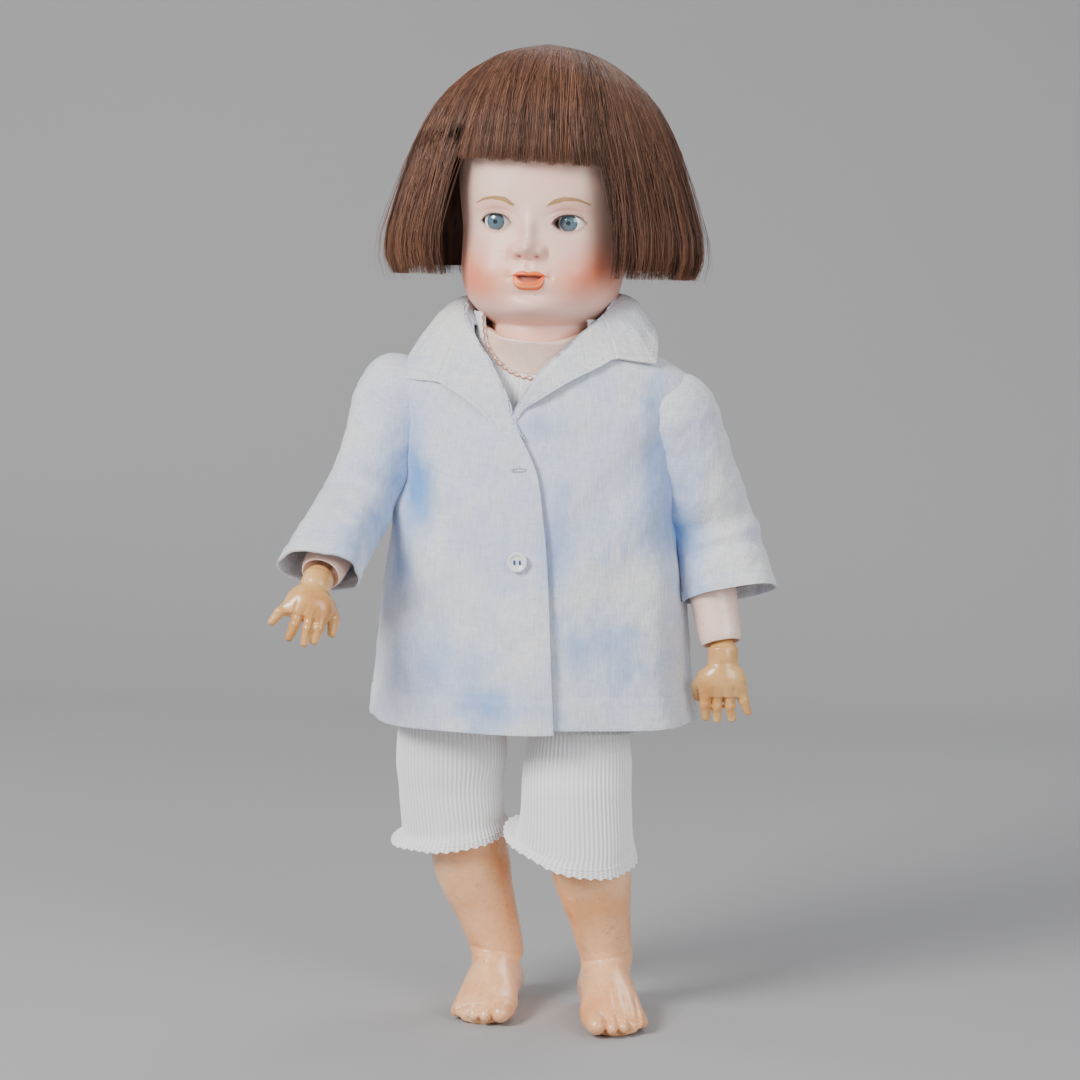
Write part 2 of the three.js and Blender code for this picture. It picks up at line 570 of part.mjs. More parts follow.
// How far the modelled features stand out from the plain oval, at x across and z up the face.
function features(x, z) {
  const ax = Math.abs(x);
  let d = 0;
  d += 8.6 * bump(x, 4.8) * bump(z - 38, 5);
  d += 4.4 * bump(x, 4) * bump(z - 46, 9);
  d += 2.8 * bump(ax - 6.2, 3.4) * bump(z - 35.5, 4);
  d -= 4.4 * bump(ax - EYE_X, 11) * bump(z - EYE_Z, 8);
  d += 1 * bump(ax - EYE_X, 12) * bump(z - 63, 5);
  d += 2.6 * bump(ax - 25, 12) * bump(z - 27, 11);
  d += 3.4 * bump(x, 10) * bump(z - 17.5, 6.5);
  d -= 1.8 * bump(x, 9) * bump(z - 9.5, 3.2);
  d += 3.6 * bump(x, 11) * bump(z - 2.5, 6.5);
  d -= 1.6 * bump(x, 30) * bump(z + 4.5, 3);
  return d;
}
const HEAD_SIDES = 26;
function headPoint(z, angle, grow, table = HEAD) {
  const [a, front, back] = station(table, z);
  const [s, c] = [Math.sin(angle), Math.cos(angle)];
  const square = smooth(-6, 10, z) * (1 - smooth(90, 115, z));
  const power = 1 - 0.14 * square;
  const x = (a + grow) * Math.sign(s) * Math.abs(s) ** power;
  let y = -((c > 0 ? front : back) + grow) * Math.sign(c) * Math.abs(c) ** power;
  if (c > 0 && z > -10) y -= features(x, z) * smooth(0.1, 0.5, c);
  return V(x, y, z);
}
const frontDense = (j, n) => {
  const t = (2 * Math.PI * j) / n;
  return t - 0.45 * Math.sin(t);
};
function headRing(z, grow, table = HEAD, sides = HEAD_SIDES) {
  const ring = [];
  for (let j = 0; j < sides; j++) ring.push(headPoint(z, frontDense(j, sides), grow, table));
  return ring;
}
function plainRing(z, a, front, back, n) {
  const ring = [];
  for (let j = 0; j < n; j++) {
    const angle = (2 * Math.PI * j) / n;
    const [s, c] = [Math.sin(angle), Math.cos(angle)];
    ring.push(V(a * s, -(c > 0 ? front : back) * c, z));
  }
  return ring;
}
function faceDepth(x, z) {
  const [a] = station(HEAD, z);
  return headPoint(z, Math.asin(Math.min(1, (x / a) ** (1 / 0.86))), 0).y;
}
const eyeY = faceDepth(EYE_X, EYE_Z) + 1.6 + EYE_R;
const headOuter = loft(HEAD.map(([z]) => headRing(z, 0)));
const HOLLOW_SIDES = 12;
const hollowRows = [[-26.8, 5], [-23, 14.6], [-17, 21], [-4, 22.4]].map(([z, r]) => (
  plainRing(z, r, r, r, HOLLOW_SIDES)));
[12, 36, 66, 92, 108, 118].forEach((z) => {
  const [a, front, back] = station(HEAD, z);
  const behindEyes = z > 24 && z < 60 ? 1.5 : 0;
  hollowRows.push(plainRing(z, a - WALL, front - WALL - behindEyes, back - WALL, HOLLOW_SIDES));
});
function almond(wide, high, lift) {
  const shape = new THREE.Shape();
  shape.moveTo(-wide, 0);
  shape.quadraticCurveTo(-wide * 0.75, high * 0.95 + lift, 0, high + lift);
  shape.quadraticCurveTo(wide * 0.75, high * 0.95 + lift, wide, 0);
  shape.quadraticCurveTo(wide * 0.7, -high * 0.95, 0, -high);
  shape.quadraticCurveTo(-wide * 0.7, -high * 0.95, -wide, 0);
  return shape;
}
function cutThrough(shape, x, z, y0, y1) {
  const g = new THREE.ExtrudeGeometry(shape, { depth: y1 - y0, bevelEnabled: false, curveSegments: 3 });
  g.rotateX(Math.PI / 2);
  return g.translate(x, y1, z);
}
const headCuts = [
  loft(hollowRows), bar(V(0, 0, -36), V(0, 0, -20), 8.6, 8.6, 8),
  cutThrough(almond(7.4, 3, 0.6), 0, 17, -60, -36),
];
[-EYE_X, EYE_X].forEach((x) => {
  headCuts.push(cutThrough(almond(8.8, 4.7, 0), x, EYE_Z, -70, eyeY));
  headCuts.push(ballAt(V(x, eyeY, EYE_Z), seatR(EYE_R, 12, 7), 12, 7));
});
addMesh(head, 'head', cutAll(toSolid(headOuter), headCuts), BISQUE);

// Mouth lining: a shallow cup behind the open lips, with the tongue and upper teeth moulded in it.
const lining = cutThrough(almond(10, 5.4, 0.6), 0, 17, -37.2, -33.2);
addMesh(head, 'mouth_lining', lining, paint(0x5a1d14, 0.6));

// Crown: a cardboard pate closes the head under the wig.
const pateOuter = loft(PATE.map(([z]) => headRing(Math.max(z, 115 + GAP), 0, PATE, 20)));
const pateInner = loft([[113, 33, 34, 37], [115, 33, 34, 37], [123, 25, 26.4, 28.4], [130, 8, 8, 8]]
  .map(([z, a, f, b]) => plainRing(z, a, f, b, 12)));
addMesh(head, 'pate', cutAll(toSolid(pateOuter), [pateInner]), paint(0xb9a27c, 0.9));

// Sleep eyes: two glass balls on one rocker, with a lead weight below and behind.
const eyes = new THREE.Group();
eyes.position.set(0, eyeY, EYE_Z);
head.add(eyes);
addMesh(eyes, 'eye_r', ballAt(V(-EYE_X, 0, 0), EYE_R, 12, 7), paint(0x6f8798, 0.1));
addMesh(eyes, 'eye_l', ballAt(V(EYE_X, 0, 0), EYE_R, 12, 7), paint(0x6f8798, 0.1));
const rocker = joinAll([
  bar(V(-EYE_X, EYE_R + GAP, 0), V(-EYE_X, EYE_R + 5, 0), 2, 2, 6),
  bar(V(EYE_X, EYE_R + GAP, 0), V(EYE_X, EYE_R + 5, 0), 2, 2, 6),
  bar(V(-EYE_X - 2, EYE_R + 4, 0), V(EYE_X + 2, EYE_R + 4, 0), 1.6, 1.6, 6),
  bar(V(0, EYE_R + 4, 1), V(0, EYE_R + 4, -20), 1.4, 1.4, 6),
]);
addMesh(eyes, 'eye_rocker', rocker, IRON);
const weight = bar(V(0, EYE_R + 4, -20 - GAP), V(0, EYE_R + 4, -31), 5, 5, 10);
addMesh(eyes, 'eye_weight', weight, paint(0x77777a, 0.6, 0.8));

// Wig: a bob with a straight fringe. It hugs the crown and swings out at the sides and back.
const WIG_OUT = [
  [20, 84, 50, 76], [28, 87.4, 55, 79.4], [40, 88, 57.6, 80.5], [58, 84.6, 58.6, 78.4],
  [78, 79.4, 58.4, 75], [96, 73, 56.4, 70.4], [112, 65, 51, 63.6], [126, 53.6, 43, 54], [138, 38, 31, 39.6],
  [146, 20, 17, 22], [149.4, 4, 4, 5],
];
const WIG_IN = [
  [10, 66, 42, 60], [36, 62, 46, 60], [52, 54, 49.6, 57], [64, 48.8, 50.6, 55.6],
];
const WIG_SIDES = 20; // inside; the cap stands off by what its wider facets take
const WIG_OFF = 1.7;
const wigInnerRows = WIG_IN.map(([z, a, f, b]) => headRing(z, 0, [[z, a, f, b]], WIG_SIDES));
HEAD.filter(([z]) => z > 68).forEach(([z]) => wigInnerRows.push(headRing(z, WIG_OFF, HEAD, WIG_SIDES)));
PATE.slice(1).forEach(([z]) => (
  wigInnerRows.push(headRing(z, WIG_OFF, PATE, WIG_SIDES).map((p) => p.add(V(0, 0, 0.6))))));
const wigOuter = loft(WIG_OUT.map(([z, a, f, b]) => plainRing(z, a, f, b, 22)));
const faceWindow = new THREE.Shape();
faceWindow.moveTo(-43, -10);
faceWindow.lineTo(43, -10);
faceWindow.lineTo(46, 60);
faceWindow.lineTo(44, 82);
faceWindow.quadraticCurveTo(0, 86, -44, 82);
faceWindow.lineTo(-46, 60);
const wig = cutAll(toSolid(wigOuter), [loft(wigInnerRows), cutThrough(faceWindow, 0, 0, -90, -16)]);
addMesh(head, 'wig', wig, HAIR);

// Jacket: rows of height, middle, half width, front depth, back depth. It leans with the shoulders and hangs
// straight below them.
const JACKET = [
  [-8, 6.4, 93.6, 56, 56.6], [18, 6.2, 90.6, 54.2, 53],
  [54, 6.6, 88, 51.4, 48.6], [92, 7.4, 83, 48.4, 43.8], [132, 9.8, 80, 44, 39.6],
].map(([rise, ...row]) => [HIP_HEIGHT + rise, ...row]).concat([
  [-9, 13, 83, 38.6, 36.6], [6, 14, 85, 35.5, 35], [17, 14.6, 81.6, 34, 34.6], [25, 14.8, 69, 33.6, 34.6],
  [34, 14.4, 52, 34.6, 36], [43, 13.4, 39.5, 37, 39],
].map(([rise, ...row]) => [SHOULDER_LEVEL + rise, ...row]));
const JACKET_TOP = SHOULDER_LEVEL + 43;
const JACKET_COLUMNS = 26;
// How freely the cloth hangs at this height
const hang = (z) => 1 - smooth(HIP_HEIGHT + 48, SHOULDER_LEVEL - 24, z);
function jacketPoint(z, angle, grow) {
  const [middle, a, front, back] = station(JACKET, z);
  const [s, c] = [Math.sin(angle), Math.cos(angle)];
  const power = 0.92 - 0.06 * smooth(SHOULDER_LEVEL - 54, SHOULDER_LEVEL + 6, z);
  const fold = 2.2 * hang(z) * Math.sin(7 * angle + 0.9) * (1 - 0.6 * bump(angle, 0.7));
  const x = (a + grow + fold) * Math.sign(s) * Math.abs(s) ** power;
  const y = -((c > 0 ? front : back) + grow + fold) * Math.sign(c) * Math.abs(c) ** power;
  return V(middle + x, y, z - 0.052 * x * smooth(SHOULDER_LEVEL - 104, SHOULDER_LEVEL - 4, z));
}
// The fronts cross below the button and open in a V above it. An edge is given as an angle from the front.
const V_HEIGHT = SHOULDER_LEVEL - 9;
// Each edge's place across, from the middle of the jacket, by height above or below the V.
const OVER_EDGE = [
  [-171, 23], [-122, 20.8], [-78, 17.6], [-56, 14.4], [-29, 8], [0, -6], [23, -18], [42, -29], [52, -35],
];
const UNDER_EDGE = [[-171, -18], [-25, -17], [0, -9.4], [18, 4], [33, 17], [48, 30], [52, 34]];
function frontEdges(z) {
  const [, a] = station(JACKET, z);
  const angleOf = ([x]) => Math.asin(Math.max(-0.95, Math.min(0.95, x / a)));
  const rise = z - V_HEIGHT;
  return { over: angleOf(station(OVER_EDGE, rise)), under: angleOf(station(UNDER_EDGE, rise)) };
}
const jacketRows = JACKET.map(([z]) => {
  const { over, under } = frontEdges(z);
  const row = [];
  const layered = 1.4 * (1 - smooth(V_HEIGHT - 12, V_HEIGHT + 2, z));
  for (let j = 0; j <= JACKET_COLUMNS; j++) {
    const t = j / JACKET_COLUMNS;
    // From the under edge (the doll's left front) round the back to the over edge.
    const angle = under + (2 * Math.PI + over - under) * t;
    const lift = layered * (smooth(0.86, 0.94, t) - smooth(0.14, 0.06, t));
    row.push(jacketPoint(z, angle, lift));
  }
  return row;
});
const jacketCentre = (i, p) => V(8, 0, Math.min(p.z, V_HEIGHT - 5));
const jacketSolid = toSolid(sheet(jacketRows, offsetGrid(jacketRows, -LINEN, false, jacketCentre), false));

// Sleeves: rings round a line that starts inside the armhole and follows the arm to the cuff.
function sleeveRings(side, grow) {
  const shoulder = joint['shoulder_' + side];
  const elbow = joint['elbow_' + side];
  const wrist = joint['wrist_' + side];
  const sign = side === 'r' ? -1 : 1;
  const out = V(sign, 0, 0);
  const upDir = basis(shoulder, elbow).w;
  const foreDir = basis(elbow, wrist).w;
  const reach = side === 'r' ? 62 : 36; // how far down the forearm the cuff comes
  const slack = side === 'r' ? 0.15 : 1; // how far the cloth hangs out from the arm
  const slim = side === 'r' ? 0.86 : 1; // the raised arm fills its sleeve less
  // The right cuff hangs down a little from the raised forearm.
  const cuffDir = foreDir.clone().add(V(0, 0, side === 'r' ? -0.55 : -0.1)).normalize();
  const lines = [
    [shoulder.clone().add(V(-sign * 7, 0, 2)), V(sign, 0, -0.3), 22.6, 22],
    [shoulder.clone().add(V(-sign * 1.5, 0, 0)), V(sign, 0, -0.6), 24.2, 22.6],
    [shoulder.clone().add(V(sign * 5, 0, -5.4)), V(sign, 0, -1.2), 26.4, 22.8],
    [towards(shoulder, elbow, 18).addScaledVector(out, 3.1 + 1.3 * slack), upDir,
      25 - 3 * (1 - slim), 22.8],
    [towards(shoulder, elbow, 44).addScaledVector(out, 5 * slack), upDir, 25 * slim, 22.5],
    [elbow.clone().addScaledVector(out, 7 * slack), upDir.clone().add(foreDir), 24.6 * slim, 22],
    [towards(elbow, wrist, reach * 0.5).addScaledVector(out, 9 * slack), foreDir, 25.6 * slim, 21.4],
    [towards(elbow, wrist, reach).addScaledVector(out, 10 * slack), cuffDir, 26.6 * slim, 20.6],
  ];
  return lines.map(([centre, direction, wide, deep], i) => {
    const w = direction.clone().normalize();
    const ahead = V(0, -1, 0);
    const v = ahead.clone().addScaledVector(w, -ahead.dot(w)).normalize();
    const u = v.clone().cross(w).normalize();
    const ring = [];
    for (let j = 0; j < 13; j++) {
      const angle = (2 * Math.PI * j) / 13;
      const fold = i > 4 ? 0.8 * Math.sin(3 * angle + i * 0.8) : 0;
      ring.push(centre.clone().addScaledVector(u, (wide + grow + fold) * Math.sin(angle))
        .addScaledVector(v, (deep + grow + fold) * Math.cos(angle)));
    }
    return ring;
  });
}
let jacketCut = jacketSolid;
const armholes = ['r', 'l'].map((side) => {
  const sleeve = sheet(sleeveRings(side, 0), sleeveRings(side, -LINEN), true);
  addMesh(clothes, 'sleeve_' + side, sleeve, BLUE_LINEN);
  const rings = sleeveRings(side, GAP + 0.6);
  const inwards = V(side === 'r' ? 1.6 : -1.6, 0, 0);
  const armhole = toSolid(loft([rings[0].map((p) => p.clone().add(inwards)), ...rings]));
  jacketCut = jacketCut.subtract(armhole);
  return armhole;
});
addMesh(clothes, 'jacket', jacketCut, BLUE_LINEN);

// Undershirt: it follows the chest down to the drawers' waist. The arms and the neckline are cut out.
const UNDERSHIRT = [
  [66, 55, 40.6, 36.4], [104, 53.4, 38.8, 35.4],
];
const UNDERSHIRT_TOP = [-24, 0, 14, 24, 30].map((rise) => SHOULDER_RISE + rise);
const shirtRings = (grow) => [
  ...UNDERSHIRT.map(([z, a, f, b]) => {
    const [ta] = station(TORSO, z);
    return torsoRing(z, 0).map((p) => {
      const middle = onTorso(0, 0, z);
      const [dx, dy] = [p.x - middle.x, p.y];
      const [, front, back] = station(TORSO, z);
      return V(middle.x + dx * (a + grow) / ta, dy * ((dy < 0 ? f / front : b / back) + grow / 36), p.z);
    });
  }),
  ...UNDERSHIRT_TOP.map((z) => torsoRing(z, 2.2 + grow * 0.9)),
];
const shirt = toSolid(loft(shirtRings(0))).subtract(toSolid(loft([
  ...shirtRings(-KNIT).map((ring, i) => (i ? ring : ring.map((p) => p.clone().add(V(0, 0, -4))))),
  torsoRing(SHOULDER_RISE + 38, 2.2 - KNIT * 0.9),
])));
const SHIRT_ARMHOLE_R = 30; // clear of the sleeves, which fold under the arms
const shirtCuts = ['r', 'l'].map((side) => ballAt(joint['shoulder_' + side], SHIRT_ARMHOLE_R))
  .concat(armholes);
const neckline = new THREE.Shape();
neckline.absarc(0, 0, 26, 0, 2 * Math.PI);
const necklineCut = new THREE.ExtrudeGeometry(neckline, { depth: 60, bevelEnabled: false, curveSegments: 6 });
necklineCut.rotateX(Math.PI / 2).translate(10, -4, SHOULDER_LEVEL + 38);
addMesh(clothes, 'undershirt', cutAll(shirt, [...shirtCuts, necklineCut]), WHITE_KNIT);

// Drawers: a seat round the hips and a tube on each leg, with the hem flared over the shin.
const seatRings = (grow) => [
  ...[62, 50, 26, 10].map((z) => torsoRing(z, 2.4 + grow)),
  torsoRing(10, 0).map((p) => {
    const middle = onTorso(0, 0, 10);
    return V(middle.x + (p.x - middle.x) * ((70 + grow) / 55), p.y * ((41 + grow) / 35.5) - 2, p.z - 20);
  }),
];
addMesh(clothes, 'drawers_seat', sheet(seatRings(0), seatRings(-KNIT), true), WHITE_KNIT);
['r', 'l'].forEach((side) => {
  const hip = joint['hip_' + side];
  const knee = joint['knee_' + side];
  const ankle = joint['ankle_' + side];
  // Distance along, half width, front, back, and how far the cloth hangs to the doll's right.
  const [thighRows, shinRows, hemTilt] = side === 'r'
    ? [[[13, 30.6, 27.6, 29, -2.4], [36, 32, 28, 29.4, -4.4], [54, 30, 25.8, 26.2, -6.4]],
      [[7, 30, 25.4, 26.4, -8.3], [13, 32.4, 27.4, 28.4, -10], [18.5, 35.5, 29.4, 30.4, -12]], 0.04]
    : [[[16, 28.6, 27, 28.6, -0.3], [36, 31, 27.6, 29.2, -1.8], [54, 31.2, 25.8, 26.2, -3]],
      [[8, 33, 25.6, 26.6, -6], [14, 35, 28, 29, -8], [20, 38, 30.4, 31.4, -10]], 0.24];
  const rows = (grow) => {
    const grown = (row) => [row[0], row[1] + grow, row[2] + grow, row[3] + grow, row[4]];
    const thigh = limbRings(hip, knee, thighRows.map(grown), 16);
    const shin = limbRings(knee, ankle, shinRows.map(grown), 16);
    shin.forEach((ring, i) => ring.forEach((p) => {
      p.z -= hemTilt * ((i + 1) / 3) * (p.x - knee.x - shinRows[i][4]);
    }));
    return [...thigh, ...shin];
  };
  addMesh(clothes, 'drawers_leg_' + side, sheet(rows(0), rows(-KNIT), true), WHITE_KNIT);
});

// Collar and lapels: one turned-over band round the neck, running down to the V. Each row gives, from the V
// to the middle of the back, the fold's place across and up, and the outer edge's.
const COLLAR = [
  [0, 3.5, 1, 5.5, -0.6], [0.22, 13, 21, 27, 12], [0.4, 21, 34, 44, 18], [0.52, 26, 42, 55, 21.4],
  [0.6, 29.5, 48, 60, 24],
].map(([t, x0, rise0, x1, rise1]) => [t, x0, V_HEIGHT + rise0, x1, V_HEIGHT + rise1]);
const collarGrid = [];
const COLLAR_THICK = 2.2;
function onJacket(x, z, grow) {
  const [, a] = station(JACKET, z);
  return jacketPoint(z, Math.sign(x) * Math.asin(Math.min(0.98, (Math.abs(x) / a) ** (1 / 0.86))), grow);
}
for (let i = -12; i <= 12; i++) {
  const t = 1 - Math.abs(i) / 12;
  const sign = i < 0 ? -1 : 1;
  let fold;
  let edge;
  if (t <= 0.6) {
    const [x0, z0, x1, z1] = station(COLLAR, t);
    fold = onJacket(sign * x0, z0, 1.8 + GAP);
    edge = onJacket(sign * x1, z1, 2 + GAP);
    fold.y -= 2.4 * smooth(0, 0.4, t);
  } else {
    const turn = rad(52 + 128 * ((t - 0.6) / 0.4));
    fold = jacketPoint(JACKET_TOP, sign * turn, -1.2);
    fold.z += 1 + 10 * smooth(0.6, 0.9, t);
    edge = jacketPoint(JACKET_TOP - 13 - 10 * smooth(0.75, 1, t), sign * turn, 2 + GAP);
  }
  const middle = fold.clone().lerp(edge, 0.42);
  middle.add(V(0, 0, 1.2 + 2.4 * smooth(0.5, 0.8, t))).add(V(middle.x - 13, middle.y, 0).setLength(1.6));
  collarGrid.push([fold, middle, edge]);
}
const collarCentre = (i, p) => V(13, 0, p.z - 12);
const collarTop = offsetGrid(collarGrid, COLLAR_THICK, false, collarCentre);
const coatRows = [...jacketRows, jacketRows[jacketRows.length - 1].map((p) => p.clone().add(V(0, 0, 0.6)))];
const underCollar = sheet(offsetGrid(coatRows, GAP + 0.1, false, jacketCentre),
  offsetGrid(coatRows, -LINEN - 0.4, false, jacketCentre), false);
const collar = toSolid(sheet(collarTop, collarGrid, false)).subtract(toSolid(underCollar));
addMesh(clothes, 'collar', collar, BLUE_LINEN);

// Button: a two-hole disc, sewn on with blue thread.
const buttonAt = V(9, 0, V_HEIGHT - 79);
const BUTTON_LIFT = 2; // clear of the two layers of cloth
const face = onJacket(buttonAt.x - 7, buttonAt.z, BUTTON_LIFT + GAP);
const disc = new THREE.Shape();
disc.absarc(0, 0, 5.6, 0, 2 * Math.PI);
[-1.6, 1.6].forEach((x) => {
  const hole = new THREE.Path();
  hole.absarc(x, 0, 0.9, 0, 2 * Math.PI);
  disc.holes.push(hole);
});
const button = new THREE.ExtrudeGeometry(disc, {
  depth: 1.2, bevelEnabled: true, bevelThickness: 0.4, bevelSize: 0.4, bevelOffset: -0.4, bevelSegments: 1,
  curveSegments: 3,
});
button.rotateX(Math.PI / 2).translate(face.x, face.y - 1, face.z);
addMesh(clothes, 'button', button, paint(0xf2f2f0, 0.3));

// The origin is under the middle of the whole figure, on the floor.
root.updateMatrixWorld(true);
const box = new THREE.Box3().setFromObject(root, true);
const centre = box.getCenter(V(0, 0, 0));
root.position.set(-centre.x, -centre.y, -box.min.z);

const shifted = Object.entries(joint).map(([name, p]) => [name, p.clone().add(root.position)]);
export const skeleton = Object.fromEntries(shifted);
export const frameShift = root.position;
export default root;
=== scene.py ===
"""A jointed character doll: the look of each piece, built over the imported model's frame.

Points are in millimetres in the row frame (the doll faces -Y, its own right is at -X) and are scaled to
metres when a mesh is made. Head pieces are drawn round the neck centre and then set on it.
"""
import json
import math
import bmesh
import bpy
import numpy as np
from mathutils import Matrix, Vector


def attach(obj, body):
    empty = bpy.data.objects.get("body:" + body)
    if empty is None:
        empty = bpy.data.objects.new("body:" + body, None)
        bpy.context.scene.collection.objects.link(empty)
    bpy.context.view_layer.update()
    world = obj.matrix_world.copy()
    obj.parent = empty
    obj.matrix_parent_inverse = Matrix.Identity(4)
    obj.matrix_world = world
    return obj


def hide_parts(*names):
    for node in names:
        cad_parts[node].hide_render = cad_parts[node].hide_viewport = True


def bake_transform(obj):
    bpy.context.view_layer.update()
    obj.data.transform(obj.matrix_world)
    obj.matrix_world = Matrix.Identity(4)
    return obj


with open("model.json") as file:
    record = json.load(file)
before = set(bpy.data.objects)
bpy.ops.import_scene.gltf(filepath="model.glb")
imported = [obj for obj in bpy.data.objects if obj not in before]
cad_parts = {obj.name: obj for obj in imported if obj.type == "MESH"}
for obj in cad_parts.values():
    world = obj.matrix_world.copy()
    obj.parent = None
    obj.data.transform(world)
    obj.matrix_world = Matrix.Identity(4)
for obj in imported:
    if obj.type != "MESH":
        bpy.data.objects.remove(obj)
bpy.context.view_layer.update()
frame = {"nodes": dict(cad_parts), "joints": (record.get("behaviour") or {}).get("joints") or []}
JOINTS = {j["name"]: j for j in frame["joints"]}

# Driving dimensions, in millimetres and degrees, as in the solids
LEAN = 4.0
HIP_MIDDLE = -3.4
HIP_SPREAD = 36.5
HIP_HEIGHT = 182.0
SHIN = 82.5
HEAD_TURN = 2.4
HEAD_ROLL = 1.5
EYE_R = 11.4
EYE_X = 20.0
EYE_Z = 51.0
LINEN = 1.0
KNIT = 1.3

# The photograph's camera, worked out from where joints and hems fall in the picture
CAMERA_TURN = 12.0  # how far round the doll's left it stands
CAMERA_AWAY = 1635.4
CAMERA_HEIGHT = 428.4
CAMERA_SIDE = 2.4
LOOK_TURN = 11.7065
LOOK_DOWN = 5.4
FOCAL_PIXELS = 2887.3
PHOTO_SIZE = 1080
EDGE_ANGLE = 50  # cloth edges sharper than this keep a crisp corner

METRE = 1000  # in millimetres
MM = 0.001  # in metres
SIGN = {"r": -1, "l": 1}  # which way each side lies along X


# Numbers

def unit(v):
    v = np.asarray(v, float)
    return v / np.linalg.norm(v)


def units(v):
    """Each of an array's vectors, one long."""
    return v / np.linalg.norm(v, axis=-1, keepdims=True)


def circle(count):
    """Angles evenly round a circle."""
    return np.linspace(0, 2 * math.pi, count, endpoint=False)


def smooth(a, b, x):
    t = np.clip((np.asarray(x, float) - a) / (b - a), 0, 1)
    return t * t * (3 - 2 * t)


def bump(x, width):
    return np.exp(-(np.asarray(x, float) / width) ** 2)


def station(table, z):
    """A smooth curve through each column of a short table, at the heights z."""
    table = np.asarray(table, float)
    x = table[:, 0]
    z = np.clip(np.asarray(z, float), x[0], x[-1])
    i = np.clip(np.searchsorted(x, z, side="right") - 1, 0, len(x) - 2)
    h = (x[i + 1] - x[i])
    t = (z - x[i]) / h
    out = []
    for column in table[:, 1:].T:
        slope = np.diff(column) / np.diff(x)
        m = np.zeros(len(x))
        m[1:-1] = np.where(slope[:-1] * slope[1:] > 0, (slope[:-1] + slope[1:]) / 2, 0)
        m[0], m[-1] = slope[0], slope[-1]
        limit = 3 * np.minimum(np.abs(np.r_[slope[0], slope]), np.abs(np.r_[slope, slope[-1]]))
        m = np.clip(m, -limit, limit)
        a, b = column[i], column[i + 1]
        out.append((2 * t**3 - 3 * t**2 + 1) * a + (t**3 - 2 * t**2 + t) * h * m[i]
                   + (3 * t**2 - 2 * t**3) * b + (t**3 - t**2) * h * m[i + 1])
    return out


def noise(p, size, seed=0, octaves=3):
    """Smooth noise of about -1 to 1, with lumps of that size in mm."""
    rng = np.random.default_rng(seed)
    total = np.zeros(p.shape[:-1])
    weight = 1.0
    full = 0.0
    for _ in range(octaves):
        for _ in range(5):
            way = unit(rng.normal(size=3))
            total += weight * np.sin(p @ way * (2 * math.pi / size) * rng.uniform(0.7, 1.3)
                                     + rng.uniform(0, 2 * math.pi))
        full += weight
        weight *= 0.5
        size /= 2.1
    return total / (2.2 * full)


def joint_at(name):
    return np.array(JOINTS[name]["pos_m"], float) * METRE


# The skeleton in the row frame
LEAN_ANGLE = math.radians(LEAN)
ACROSS = np.array([math.cos(LEAN_ANGLE), 0, -math.sin(LEAN_ANGLE)])
SPINE = np.array([math.sin(LEAN_ANGLE), 0, math.cos(LEAN_ANGLE)])
NECK = joint_at("neck_turn")
SHOULDER = {s: joint_at("shoulder_swing_" + s) for s in "rl"}
ELBOW = {s: joint_at("elbow_bend_" + s) for s in "rl"}
WRIST = {s: joint_at("wrist_turn_" + s) for s in "rl"}
HIP = {s: joint_at("hip_swing_" + s) for s in "rl"}
KNEE = {s: joint_at("knee_bend_" + s) for s in "rl"}
ANKLE = {s: KNEE[s] + SHIN * unit(JOINTS["shin_turn_" + s]["axis"]) for s in "rl"}
HIP_CENTRE = np.array([HIP_MIDDLE, 0, HIP_HEIGHT])
SHIFT = HIP["r"] + HIP_SPREAD * ACROSS - HIP_CENTRE


def on_torso(x, y, z):
    middle = HIP_CENTRE + SHIFT
    x, y, z = (np.asarray(v, float) for v in (x, y, z))
    return middle + x[..., None] * ACROSS + z[..., None] * SPINE + y[..., None] * np.array([0, 1.0, 0])


def turn(axis, degrees):
    return np.array(Matrix.Rotation(math.radians(degrees), 3, axis), float)


HEAD_AXES = turn("Z", HEAD_TURN) @ turn("Y", HEAD_ROLL)


def on_head(p):
    return np.asarray(p, float) @ HEAD_AXES.T + NECK


# Meshes

def new_mesh(name, points, faces):
    mesh = bpy.data.meshes.new(name)
    points = np.asarray(points, float) * MM
    faces = np.asarray(faces, np.int32)
    corners = faces.shape[1]
    mesh.vertices.add(len(points))
    mesh.vertices.foreach_set("co", points.ravel())
    mesh.loops.add(faces.size)
    mesh.loops.foreach_set("vertex_index", faces.ravel())
    mesh.polygons.add(len(faces))
    mesh.polygons.foreach_set("loop_start", np.arange(0, faces.size, corners, dtype=np.int32))
    mesh.update(calc_edges=True)
    mesh.validate()
    mesh.polygons.foreach_set("use_smooth", np.full(len(mesh.polygons), True))
    obj = bpy.data.objects.new(name, mesh)
    bpy.context.scene.collection.objects.link(obj)
    return obj


def grid_faces(m, n, closed=False, start=0, flip=False):
    """Quads over m rows of n points. A closed grid joins each row's end to its start."""
    i, j = np.meshgrid(np.arange(m - 1), np.arange(n if closed else n - 1), indexing="ij")
    k = (j + 1) % n
    quads = np.stack([i * n + j, i * n + k, (i + 1) * n + k, (i + 1) * n + j], -1).reshape(-1, 4)
    if flip:
        quads = quads[:, ::-1]
    return quads + start


def grid_normals(grid, closed=False):
    down = np.gradient(grid, axis=0)
    if closed:
        side = (np.roll(grid, -1, 1) - np.roll(grid, 1, 1)) / 2
    else:
        side = np.gradient(grid, axis=1)
    n = np.cross(down, side)
    length = np.linalg.norm(n, axis=-1, keepdims=True)
    return n / np.maximum(length, 1e-9)


def outward(grid, centre, closed=False):
    """Unit normals of a grid that point away from a centre line or point."""
    n = grid_normals(grid, closed)
    wrong = np.sum(n * (grid - centre), -1) < 0
    return np.where(wrong[..., None], -n, n)


